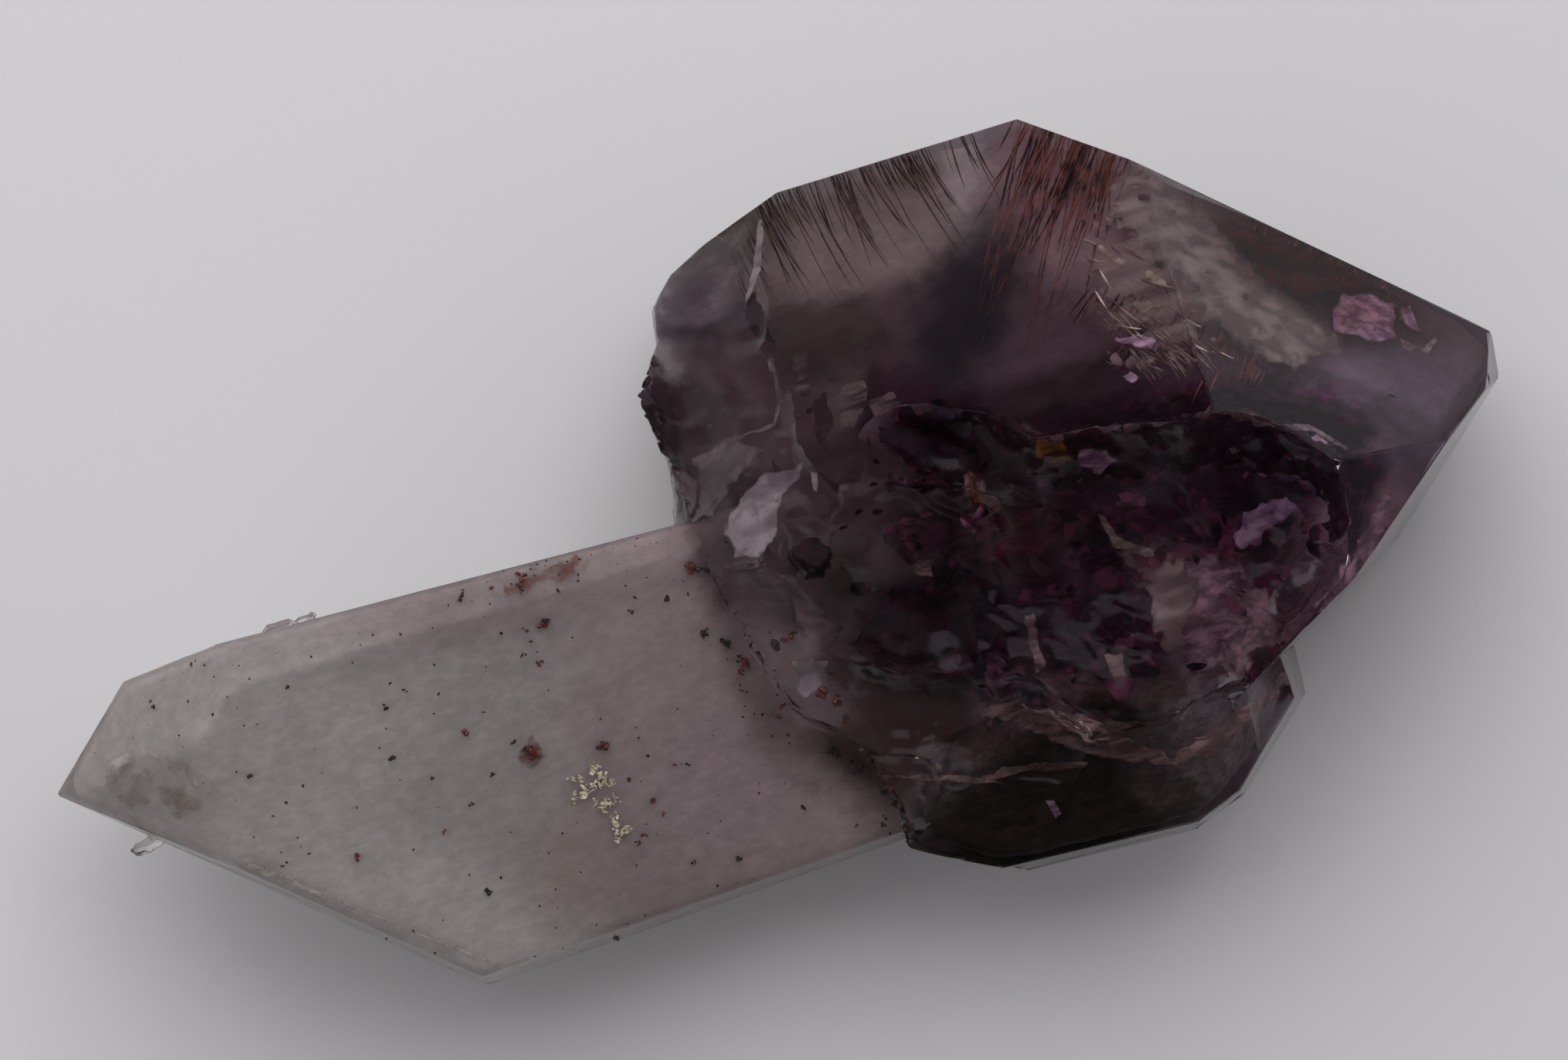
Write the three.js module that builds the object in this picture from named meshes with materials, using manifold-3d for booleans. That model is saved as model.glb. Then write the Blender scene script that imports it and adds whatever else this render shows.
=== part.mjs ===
/**
 * A sceptre amethyst: a pale quartz stem with a natural point, and a larger amethyst head that grew
 * around its other end, with a smaller crystal beside it and a broken hollow in its front.
 *
 * Millimetres. +X runs along the c axis that the crystals share, from the stem's point to the
 * head's. +Z is up. The specimen lies on the flat contact face under its head, at z = 0, and the
 * stem reaches out clear of the ground.
 */
import * as THREE from 'three';
import { ConvexGeometry } from 'three/addons/geometries/ConvexGeometry.js';
import { mergeVertices } from 'three/addons/utils/BufferGeometryUtils.js';
import Module from 'manifold-3d';

const wasm = await Module();
wasm.setup();

// Driving dimensions
const STEM_POINT_X = -30;
const HEAD_END_X = 30;
const HEAD_POINT_X = 30.9;
const ROLL = 7;
const POINT_SLOPE = 40;
const STEM_TAPER = 2.3;

// Distances within which a corner lies on a face, two corners are one, and mesh points are merged
const ON_FACE = 1e-5;
const SAME_CORNER = 1e-3;
const SAME_POINT = 1e-4;

// Azimuths of the six prism faces, in degrees from +Z towards +Y, before the roll
const AZIMUTH = { front: -30, upper: 30, top: 90, back: 150, under: 210, low: 270 };

// Distances of the stem's prism faces from the line through its point
const STEM_AXIS = { y: -0.1, z: 9 };
const STEM_SIDES = { front: 5.2, upper: 6.7, top: 3.07, back: 4.2, under: 10.8, low: 12.05 };
const STEM_END_X = 3;
const STEM_WAIST_X = -20;

// Distances of the head's prism faces from the line through its point, and how far each face of
// its point stands out from that point
const HEAD_AXIS = { y: 0.5, z: 7.5 };
const HEAD_SIDES = { front: 14.4, upper: 9.6, top: 13.7, back: 9.1, under: 9.2, low: 11.3 };
const HEAD_POINT_PUSH = { front: 2.2, upper: -0.75, top: 0, back: 0.8, under: 1.6, low: 0.5 };
const HEAD_BASE_X = -5;

// Faces that a break or a neighbour cut on the head: outward normal and a point
const HEAD_CUTS = [
  { normal: [0.96, -0.2, 0.2], at: [HEAD_END_X, 0.4, 7.5] },
  { normal: [0.479, -0.878, 0.05], at: [20.5, -8, 8] },
  { normal: [-1, 0, 0], at: [HEAD_BASE_X, 0, 0] },
  { normal: [0, 0, -1], at: [0, 0, 0] },
];

// Faces of the small crystal beside the head: outward normal and a point
const SIDE_FACES = [
  { normal: [0, -0.391, 0.921], at: [10, -9.3, 12.2] },
  { normal: [-0.063, -0.99, 0.12], at: [9.3, -14.3, 9] },
  { normal: [0, -0.602, -0.799], at: [10, -14.4, 6.4] },
  { normal: [0, 0.391, -0.921], at: [10, -9, 2.4] },
  { normal: [0, 1, 0], at: [10, -6.6, 8] },
  { normal: [-1, 0, 0], at: [HEAD_BASE_X, 0, 0] },
  { normal: [0.34, -0.94, 0.1], at: [14.4, -14.2, 8.5] },
  { normal: [0.682, -0.731, 0.1], at: [16.5, -12.75, 8.5] },
  { normal: [0.643, -0.3, 0.705], at: [16.6, -11, 11.3] },
  { normal: [0.99, 0, 0.12], at: [18.6, -10, 8] },
];

// Small parallel crystals and a flake that stand on the stem: centre, half width and half length
const BUDS = [
  { at: [-19.3, 3.72, 13.5], size: 0.26, reach: 0.8 },
  { at: [-18.2, 3.7, 13.9], size: 0.2, reach: 0.55 },
  { at: [-27.2, -3.15, 8.6], size: 0.34, reach: 0.8 },
  { at: [-21.5, -1.4, 3.6], size: 0.55, reach: 1.5 },
];

// Small shell-shaped chips off edges: centre and radii
const CHIPS = [
  { at: [-26.6, 4.2, 10.6], radii: [0.9, 0.9, 2.6] },
  { at: [-7.2, 4.1, 12.8], radii: [1.9, 0.8, 1.6] },
  { at: [-15.6, -13.5, 6.4], radii: [1.6, 0.8, 2.4] },
  { at: [16.9, 15.2, 8.2], radii: [2.6, 1.9, 2] },
  { at: [30.6, -1.3, 8.6], radii: [1.2, 1.3, 1.7] },
  { at: [3.4, 10.6, -3.4], radii: [7.6, 6.4, 6], turn: 24 },
  { at: [18.6, 8.6, -2.2], radii: [7.2, 4.6, 4.4], turn: -40 },
  { at: [22.6, -7.4, -2.6], radii: [5.8, 5.6, 5.4], turn: 30 },
  { at: [6.2, -16.4, 3.4], radii: [6.6, 3, 3.4], turn: -12 },
  { at: [-0.4, -7.6, -2.2], radii: [3.4, 5.2, 4.2], turn: 10 },
  { at: [7.8, -10.6, 13.7], radii: [4.3, 2.5, 2.6], turn: -34 },
  { at: [14.6, -10.9, 13.6], radii: [2.7, 1.3, 2.4], turn: 17 },
  { at: [1.6, -10.4, 12.9], radii: [2.8, 2.6, 2.4], turn: 30 },
];

// Chips' tool: fineness, and the width and depth of the scallops on it as shares of its radius
const CHIP_DETAIL = 5;
const CHIP_SHELL = 0.8;
const CHIP_UNEVEN = 0.12;

// Bowls of the broken front: deepest place, and how fast each rises along and across
const BOWLS = [
  { at: [5.8, -3.6, 12.6], rise: [0.1, 0.13], turn: 18 },
  { at: [12.4, -5.2, 13.3], rise: [0.06, 0.105], turn: -12 },
  { at: [18.9, -4.2, 13.1], rise: [0.3, 0.2], turn: 10 },
  { at: [7.7, 2.7, 14.9], rise: [0.16, 0.55], turn: -36 },
  { at: [14.6, -8.8, 12.6], rise: [0.16, 0.3], turn: 40 },
  { at: [4.2, -8.9, 11.7], rise: [0.075, 0.15], turn: -34 },
];

// Shells of a break: widths of the large and small ones, how deep each kind is, and how unequal
const SHELLS = { large: 3.3, small: 1.3, depth: 1.15, fine: 0.32, unequal: 0.45 };

// Grid of a break's faces, and the share of a cell by which a corner strays
const BREAK_CELL = 0.62;
const STRAY = 0.55;

// Line across the head where its clean upper face gives way to the broken base, and its slope
const CLEAN_FACE_X = 2.3;
const BASE_RISE = 0.62;

// Slope that climbs from the stem to the broken front, and the flake that stands on it
const SLOPE = { x: -3.4, z: 13.4, climb: 0.66, middleY: 2, crown: 0.11 };
const FLAKE = { endX: 0.8, lean: 0.4, lowY: 0.4, highY: 5.2, height: 0.9 };

// Reach of the tools that break the head, and how the base rounds away from the middle's height
const FRONT_TOOL = { from: [-5.3, -14], to: [24, 16], top: 40 };
const BASE_TOOL = { from: [-16.4, -1.1], to: [16.4, 23], top: 20 };
const BASE_ROUND = { z: 9, flat: 2.5, rate: 0.035 };
const TOOL_DEPTH = 2;

// Outline of the broken base around the stem, as y and x, from the top to the low side
const BASE_OUTLINE = [
  [17, 12], [14.4, 4], [12.9, -0.4], [11.7, -1.8], [10.2, -2], [8.4, -3.4], [5.4, -3.1],
  [3.5, -3.4], [1.4, -3.3], [-1.1, -2.6], [-3.4, -2.3], [-5.7, -1.4], [-7.3, 0.6], [-8.6, 1.4],
  [-12, 1.6], [-14, 5.2], [-17, 11],
];

const MATERIAL = { color: 0x5a4656, roughness: 0.18, metalness: 0 };

/** Unit vector across the c axis at an azimuth of the rolled crystal. */
function across(azimuth) {
  const angle = THREE.MathUtils.degToRad(azimuth + ROLL);
  return new THREE.Vector3(0, Math.sin(angle), Math.cos(angle));
}

/** A flat face through a point, with the outward normal given. */
function face(normal, point) {
  const outward = new THREE.Vector3(...normal).normalize();
  return new THREE.Plane().setFromNormalAndCoplanarPoint(outward, new THREE.Vector3(...point));
}

/** The six prism faces at their distances from an axis, tapering towards +X from the waist. */
function prismFaces(axis, distances, taper = 0, waistX = 0) {
  const lean = Math.sin(THREE.MathUtils.degToRad(taper));
  return Object.entries(distances).map(([name, distance]) => {
    const normal = across(AZIMUTH[name]);
    const point = [waistX, axis.y + normal.y * distance, axis.z + normal.z * distance];
    return face([lean, normal.y, normal.z], point);
  });
}

/** The six faces of a point at x, which face along +X or -X; push moves a face outwards. */
function pointFaces(axis, x, direction, push = {}) {
  const slope = THREE.MathUtils.degToRad(POINT_SLOPE);
  return Object.keys(AZIMUTH).map((name) => {
    const normal = across(AZIMUTH[name]).multiplyScalar(Math.cos(slope));
    normal.x = direction * Math.sin(slope);
    const point = new THREE.Vector3(x, axis.y, axis.z).addScaledVector(normal, push[name] ?? 0);
    return face(normal.toArray(), point.toArray());
  });
}

/** The point where three faces meet, or null where two of them are parallel. */
function corner(a, b, c) {
  const bc = new THREE.Vector3().crossVectors(b.normal, c.normal);
  const ca = new THREE.Vector3().crossVectors(c.normal, a.normal);
  const ab = new THREE.Vector3().crossVectors(a.normal, b.normal);
  const volume = a.normal.dot(bc);
  if (Math.abs(volume) < ON_FACE) return null;
  return bc
    .multiplyScalar(-a.constant)
    .addScaledVector(ca, -b.constant)
    .addScaledVector(ab, -c.constant)
    .divideScalar(volume);
}

/** The convex crystal that lies behind all of its faces. */
function crystal(faces) {
  const corners = [];
  for (let i = 0; i < faces.length; i++) {
    for (let j = i + 1; j < faces.length; j++) {
      for (let k = j + 1; k < faces.length; k++) {
        const found = corner(faces[i], faces[j], faces[k]);
        if (!found || faces.some((plane) => plane.distanceToPoint(found) > ON_FACE)) continue;
        if (corners.every((other) => other.distanceTo(found) > SAME_CORNER)) corners.push(found);
      }
    }
  }
  return solid(new ConvexGeometry(corners));
}

/** A closed geometry as a solid that can be joined and cut. */
function solid(geometry) {
  geometry.deleteAttribute('normal');
  geometry.deleteAttribute('uv');
  const merged = mergeVertices(geometry, SAME_POINT);
  return new wasm.Manifold(
    new wasm.Mesh({
      numProp: 3,
      vertProperties: merged.attributes.position.array,
      triVerts: new Uint32Array(merged.index.array),
    }),
  );
}

/** The pale stem, with its own point at -X. */
function stem() {
  return crystal([
    ...prismFaces(STEM_AXIS, STEM_SIDES, STEM_TAPER, STEM_WAIST_X),
    ...pointFaces(STEM_AXIS, STEM_POINT_X, -1),
    face([1, 0, 0], [STEM_END_X, 0, 0]),
  ]);
}

/** The unbroken head, whose back is a flat contact face and whose base is still square. */
function head() {
  return crystal([
    ...prismFaces(HEAD_AXIS, HEAD_SIDES),
    ...pointFaces(HEAD_AXIS, HEAD_POINT_X, 1, HEAD_POINT_PUSH),
    ...HEAD_CUTS.map(({ normal, at }) => face(normal, at)),
  ]);
}

/** The small dark crystal that grew beside the head, with a blunt end. */
function sideCrystal() {
  return crystal(SIDE_FACES.map(({ normal, at }) => face(normal, at)));
}

/** A small crystal with a point at each end, parallel to the stem. */
function bud({ at, size, reach }) {
  const axis = { y: at[1], z: at[2] };
  const sides = Object.fromEntries(Object.keys(AZIMUTH).map((name) => [name, size]));
  return crystal([
    ...prismFaces(axis, sides),
    ...pointFaces(axis, at[0] + reach, 1),
    ...pointFaces(axis, at[0] - reach, -1),
  ]);
}

/** A rounded tool with a scalloped skin, which takes a shell-shaped chip off an edge. */
function chip({ at, radii, turn = 0 }) {
  const ball = new THREE.IcosahedronGeometry(1, CHIP_DETAIL);
  const position = ball.attributes.position;
  for (let i = 0; i < position.count; i++) {
    const point = new THREE.Vector3().fromBufferAttribute(position, i);
    const hollow = shells(point.x + point.z, point.y - point.z, CHIP_SHELL);
    point.multiplyScalar(1 - CHIP_UNEVEN * hollow);
    position.setXYZ(i, point.x, point.y, point.z);
  }
  ball.scale(...radii);
  ball.rotateZ(THREE.MathUtils.degToRad(turn));
  ball.translate(...at);
  return solid(ball);
}

/** A number between 0 and 1 that looks random and is the same for the same three numbers. */
function chance(a, b, c) {
  const wave = Math.sin(a * 127.1 + b * 311.7 + c * 74.7) * 43758.5453;
  return wave - Math.floor(wave);
}

/** Depth of the shells of a break of one width: 0 in their hollows, with sharp ridges between. */
function shells(u, v, width) {
  const [a, b] = [u / width, v / width];
  let lowest = Infinity;
  for (let i = Math.floor(a) - 1; i <= Math.floor(a) + 1; i++) {
    for (let j = Math.floor(b) - 1; j <= Math.floor(b) + 1; j++) {
      const away = Math.hypot(a - i - chance(i, j, 1), b - j - chance(i, j, 2));
      lowest = Math.min(lowest, away ** 2 + SHELLS.unequal * chance(i, j, 3));
    }
  }
  return lowest;
}

/** Relief of a break over a place, large shells with small ones on them. */
function relief(u, v) {
  return SHELLS.depth * shells(u, v, SHELLS.large) + SHELLS.fine * shells(u, v, SHELLS.small);
}

/** Height of one bowl of the broken front over a place. */
function bowlHeight({ at, rise, turn }, x, y) {
  const angle = THREE.MathUtils.degToRad(turn);
  const along = (x - at[0]) * Math.cos(angle) + (y - at[1]) * Math.sin(angle);
  const sideways = (y - at[1]) * Math.cos(angle) - (x - at[0]) * Math.sin(angle);
  return at[2] + rise[0] * along ** 2 + rise[1] * sideways ** 2;
}

/** Height of the head's clean upper face across the crystal. */
function upperFaceHeight(y) {
  const normal = across(AZIMUTH.upper);
  return HEAD_AXIS.z + (HEAD_SIDES.upper - normal.y * (y - HEAD_AXIS.y)) / normal.z;
}

/** Height of the slope that climbs from the stem to the head's front, with the step of a flake. */
function baseSlopeHeight(x, y) {
  const { x: startX, z, climb, middleY, crown } = SLOPE;
  const onFlake = y > FLAKE.lowY && y < FLAKE.highY && x < FLAKE.endX + FLAKE.lean * y;
  const fromStem = z + climb * (x - startX) + crown * Math.abs(y - middleY);
  const fromFace = upperFaceHeight(y) - BASE_RISE * (CLEAN_FACE_X - x);
  return Math.min(fromStem + (onFlake ? FLAKE.height : 0), fromFace);
}

/** Height of the broken front of the head over a place. */
function frontBreak(x, y) {
  const bowls = BOWLS.map((bowl) => bowlHeight(bowl, x, y));
  return Math.min(...bowls, baseSlopeHeight(x, y)) + relief(x, y) - SHELLS.depth / 2;
}

/** How far towards the stem the broken base of the head reaches at a place. */
function baseBreak(y, z) {
  const after = BASE_OUTLINE.findIndex((point) => point[0] < y);
  const [upper, lower] = [BASE_OUTLINE[after - 1], BASE_OUTLINE[after]];
  const outline = THREE.MathUtils.mapLinear(y, upper[0], lower[0], upper[1], lower[1]);
  const outside = Math.max(0, Math.abs(z - BASE_ROUND.z) - BASE_ROUND.flat);
  return outline + BASE_ROUND.rate * outside ** 2 + relief(y, z) / 2;
}

/** A block whose underside is shaped by a height over each place; it cuts away all above that. */
function breakBlock({ from, to, top }, height) {
  const size = [to[0] - from[0], to[1] - from[1]];
  const cells = size.map((length) => Math.round(length / BREAK_CELL));
  const block = new THREE.BoxGeometry(size[0], size[1], TOOL_DEPTH, cells[0], cells[1], 1);
  const position = block.attributes.position;
  const onRim = (distance, length) => Math.abs(distance) > length / 2 - BREAK_CELL / 2;
  for (let i = 0; i < position.count; i++) {
    const [u, v] = [position.getX(i), position.getY(i)];
    const stray = onRim(u, size[0]) || onRim(v, size[1]) ? 0 : STRAY * BREAK_CELL;
    const x = u + (from[0] + to[0]) / 2 + stray * (chance(u, v, 4) - 0.5);
    const y = v + (from[1] + to[1]) / 2 + stray * (chance(u, v, 5) - 0.5);
    position.setXYZ(i, x, y, position.getZ(i) > 0 ? top : height(x, y));
  }
  return block;
}

/** The tool that breaks the front of the head, from above. */
function frontTool() {
  return solid(breakBlock(FRONT_TOOL, frontBreak));
}

/** The tool that breaks the base of the head, from the side of the stem. */
function baseTool() {
  const block = breakBlock(BASE_TOOL, (u, z) => -baseBreak(-u, z));
  const turn = new THREE.Matrix4().makeBasis(
    new THREE.Vector3(0, -1, 0),
    new THREE.Vector3(0, 0, 1),
    new THREE.Vector3(-1, 0, 0),
  );
  return solid(block.applyMatrix4(turn));
}

/** The whole specimen as one solid. */
function specimen() {
  const broken = head().add(sideCrystal()).subtract(frontTool()).subtract(baseTool());
  let whole = broken.add(stem());
  for (const one of CHIPS) whole = whole.subtract(chip(one));
  for (const one of BUDS) whole = whole.add(bud(one));
  return settled(whole);
}

/** The solid moved so that its base is at z = 0 and its origin under the middle of its box. */
function settled(body) {
  const { min, max } = body.boundingBox();
  return body.translate([-(min[0] + max[0]) / 2, -(min[1] + max[1]) / 2, -min[2]]);
}

/** A named mesh of a finished solid. */
function meshOf(name, body) {
  const made = body.getMesh();
  const geometry = new THREE.BufferGeometry();
  geometry.setAttribute('position', new THREE.BufferAttribute(made.vertProperties, 3));
  geometry.setIndex(new THREE.BufferAttribute(made.triVerts, 1));
  geometry.computeVertexNormals();
  const mesh = new THREE.Mesh(geometry, new THREE.MeshStandardMaterial(MATERIAL));
  mesh.name = name;
  return mesh;
}

const group = new THREE.Group();
group.add(meshOf('amethyst_sceptre', specimen()));

export default group;
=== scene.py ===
"""A sceptre amethyst dressed for the studio: clear skin, milky stem, smoky head and what they hold.

Places are written in millimetres from the crystals' own axes, as a maker would measure them, and
placed() turns them into metres in the frame.
"""

import logging
import math
import random
from dataclasses import dataclass, field
from enum import Enum

import bmesh
import bpy
import numpy as np
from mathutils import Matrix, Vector, noise
from mathutils.bvhtree import BVHTree


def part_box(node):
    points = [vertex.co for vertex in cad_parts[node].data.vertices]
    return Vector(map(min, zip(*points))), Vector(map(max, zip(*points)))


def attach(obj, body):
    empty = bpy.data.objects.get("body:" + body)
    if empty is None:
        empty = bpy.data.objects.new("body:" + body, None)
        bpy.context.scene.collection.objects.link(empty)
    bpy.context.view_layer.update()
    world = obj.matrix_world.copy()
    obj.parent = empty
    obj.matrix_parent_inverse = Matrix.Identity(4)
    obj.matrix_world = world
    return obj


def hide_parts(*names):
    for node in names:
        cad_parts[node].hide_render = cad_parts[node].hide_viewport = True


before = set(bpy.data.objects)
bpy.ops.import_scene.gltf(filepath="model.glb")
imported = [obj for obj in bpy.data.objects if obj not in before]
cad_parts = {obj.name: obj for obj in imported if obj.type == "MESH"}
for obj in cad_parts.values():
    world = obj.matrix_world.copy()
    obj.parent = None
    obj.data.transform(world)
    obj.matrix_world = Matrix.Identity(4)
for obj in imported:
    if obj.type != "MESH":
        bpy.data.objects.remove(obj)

MM = 0.001
NODE = "amethyst_sceptre"
BODY = "root"
log = logging.getLogger("amethyst")

# Crystal directions and axes
ROLL = 7
POINT_SLOPE = 40
STEM_TIP = Vector((-30, -0.1, 9))
STEM_AXIS = Vector((0, -0.1, 9))
HEAD_AXIS = Vector((0, 0.5, 7.5))

# The photograph: its size, its scale on the crystal, and how the c axis runs across it
PHOTO_WIDTH = 2029
PHOTO_PIXEL = 0.030904
PHOTO_CENTRE = Vector((0.876, 1.509, 8.0))
PHOTO_TURN = -17.0

# Names of the attributes that a finish reads: a veil's strength, and where the skin is broken
FADE = "fade"
BROKEN = "broken"

Pair = tuple[float, float]
Triple = tuple[float, float, float]
Colour = Triple
Outline = tuple[Pair, ...]
Faces = list[tuple[Vector, Vector]]
Batch = tuple[int, Pair, Pair]


class Side(Enum):
    """Prism faces, each with its azimuth in degrees from +Z towards +Y."""

    FRONT = -30
    UPPER = 30
    TOP = 90
    BACK = 150
    UNDER = 210
    LOW = 270


def design_origin() -> Vector:
    """Finds the zero of the crystals' own axes from the stem's point, the frame's lowest x."""
    tip = min((v.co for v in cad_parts[NODE].data.vertices), key=lambda co: co.x)
    return tip - STEM_TIP * MM


ORIGIN = design_origin()


def placed(x: float, y: float, z: float) -> Vector:
    """A place given in millimetres from the crystals' axes, in metres in the frame."""
    return ORIGIN + Vector((x, y, z)) * MM


def across(side: Side) -> Vector:
    """Unit vector across the c axis, out of a prism face of the rolled crystal."""
    angle = math.radians(side.value + ROLL)
    return Vector((0, math.sin(angle), math.cos(angle)))


def only(piece: bpy.types.Object) -> None:
    """Selects one piece alone and makes it active."""
    bpy.ops.object.select_all(action="DESELECT")
    piece.select_set(True)
    bpy.context.view_layer.objects.active = piece


def add_mesh(name: str, mesh: bpy.types.Mesh) -> bpy.types.Object:
    """Makes an object of a mesh and puts it in the scene.

    Args:
        name: The piece's name.
        mesh: Its mesh, already in the frame's place.

    Returns:
        The new object, at the origin.
    """
    piece = bpy.data.objects.new(name, mesh)
    mesh.name = name
    bpy.context.scene.collection.objects.link(piece)
    return piece


def open_edit(piece: bpy.types.Object) -> None:
    """Opens a piece alone in edit mode."""
    only(piece)
    bpy.ops.object.mode_set(mode="EDIT")


def close_edit() -> None:
    """Leaves edit mode."""
    bpy.ops.object.mode_set(mode="OBJECT")


def apply_modifier(piece: bpy.types.Object, kind: str, **settings: object) -> None:
    """Adds a modifier to a piece with its settings and applies it."""
    only(piece)
    modifier = piece.modifiers.new(kind.lower(), kind)
    for key, value in settings.items():
        setattr(modifier, key, value)
    bpy.ops.object.modifier_apply(modifier=modifier.name)


def select_faces(piece: bpy.types.Object, wanted: list[bool]) -> None:
    """Selects the faces of a piece in edit mode that a list of flags names."""
    bpy.ops.mesh.select_mode(type="FACE")
    bpy.ops.mesh.select_all(action="DESELECT")
    work = bmesh.from_edit_mesh(piece.data)
    for one, flag in zip(work.faces, wanted):
        one.select = flag
    work.select_flush_mode()
    bmesh.update_edit_mesh(piece.data)


def point_values(piece: bpy.types.Object, name: str, values: list[float]) -> None:
    """Gives a piece an attribute with one number at each vertex."""
    attribute = piece.data.attributes.new(name, "FLOAT", "POINT")
    attribute.data.foreach_set("value", values)


def carry(piece: bpy.types.Object, finish: bpy.types.Material) -> None:
    """Gives a finished piece its finish, its body and its material slot in the record."""
    piece.data.materials.append(finish)
    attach(piece, BODY)
    log.info("%s: %d faces", piece.name, len(piece.data.polygons))


class Weaver:
    """Adds and joins the nodes of one material or one node group."""

    def __init__(self, tree: bpy.types.NodeTree) -> None:
        """Starts on an empty tree."""
        self.tree = tree
        tree.nodes.clear()

    def put(self, socket: bpy.types.NodeSocket, value: object) -> None:
        """Joins a socket to another, or sets its value."""
        if isinstance(value, bpy.types.NodeSocket):
            self.tree.links.new(value, socket)
        else:
            socket.default_value = value

    def add(self, kind: str, inputs: dict | None = None, **settings: object) -> bpy.types.Node:
        """Adds a node.

        Args:
            kind: The node's type name without its prefix.
            inputs: Values or sockets by input name or number.
            settings: The node's own properties.

        Returns:
            The new node.
        """
        node = self.tree.nodes.new("ShaderNode" + kind if not kind.startswith("NodeGroup") else kind)
        for key, value in settings.items():
            setattr(node, key, value)
        for key, value in (inputs or {}).items():
            self.put(node.inputs[key], value)
        return node

    def math(self, operation: str, a: object, b: object = 0.0) -> object:
        """Result of a sum of one or two numbers, held between 0 and 1."""
        return self.add("Math", {0: a, 1: b}, operation=operation, use_clamp=True).outputs[0]

    def vector(self, operation: str, a: object, b: object) -> object:
        """Result of a sum of two vectors."""
        return self.add("VectorMath", {0: a, 1: b}, operation=operation).outputs[0]

    def fitted(self, place: object, scale: Triple, shift: Triple) -> object:
        """A place that is scaled and then shifted."""
        return self.add("VectorMath", {0: place, 1: scale, 2: shift}, operation="MULTIPLY_ADD").outputs[0]

    def turned(self, place: object, degrees: float) -> object:
        """A place turned flat about +Z until a direction given in degrees lies along +X."""
        if not degrees:
            return place
        parts = [self.add("VectorMath", {0: place, 1: (*row, 0)}, operation="DOT_PRODUCT").outputs["Value"]
                 for row in turned_by(degrees)]
        return self.add("CombineXYZ", {0: parts[0], 1: parts[1]}).outputs[0]

    def blend(self, factor: object, a: object, b: object, mode: str = "MIX") -> object:
        """One colour laid over another by a factor."""
        node = self.add("Mix", data_type="RGBA", blend_type=mode, clamp_factor=True)
        for socket, value in zip((node.inputs[0], node.inputs[6], node.inputs[7]), (factor, a, b)):
            self.put(socket, value)
        return node.outputs[2]

    def between(self, factor: object, a: object, b: object) -> object:
        """A number between two others by a factor."""
        return self.add("Mix", {0: factor, 2: a, 3: b}, data_type="FLOAT").outputs[0]

    def ramp(self, value: object, low: float, high: float, to_low: float = 0.0,
             to_high: float = 1.0) -> object:
        """A number carried smoothly from one range to another."""
        inputs = {0: value, 1: low, 2: high, 3: to_low, 4: to_high}
        return self.add("MapRange", inputs, interpolation_type="SMOOTHSTEP").outputs[0]

    def noise(self, place: object, scale: float, detail: float = 2.0, rough: float = 0.55) -> object:
        """The noise node of a place, for its number or its colour."""
        inputs = {"Vector": place, "Scale": scale, "Detail": detail, "Roughness": rough}
        return self.add("TexNoise", inputs)

    def grey(self, value: object) -> object:
        """A grey of a number."""
        return self.add("CombineColor", {0: value, 1: value, 2: value}).outputs[0]


def rgba(colour: Colour) -> tuple[float, float, float, float]:
    """A colour with full alpha."""
    return (*colour, 1.0)


def turned_by(degrees: float) -> np.ndarray:
    """Two rows that turn a place about +Z until a direction given in degrees lies along +X."""
    cosine, sine = math.cos(math.radians(degrees)), math.sin(math.radians(degrees))
    return np.array(((cosine, sine), (-sine, cosine)))


@dataclass(frozen=True)
class Zone:
    """A column of one colour in the crystal, with a turned oval for its section.

    Sizes are in millimetres, turn in degrees about +Z.
    """

    name: str
    centre: Pair
    radii: Pair
    colour: Colour
    turn: float = 0.0
    soft: float = 0.4
    strength: float = 1.0

    def fit(self) -> tuple[Triple, Triple]:
        """Scale and shift that carry a turned place into the oval, where it has a radius of 1."""
        (along, aside), (long, wide) = turned_by(self.turn) @ self.centre, self.radii
        return (1 / long, 1 / wide, 0), (-along / long, -aside / wide, 0)


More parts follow.
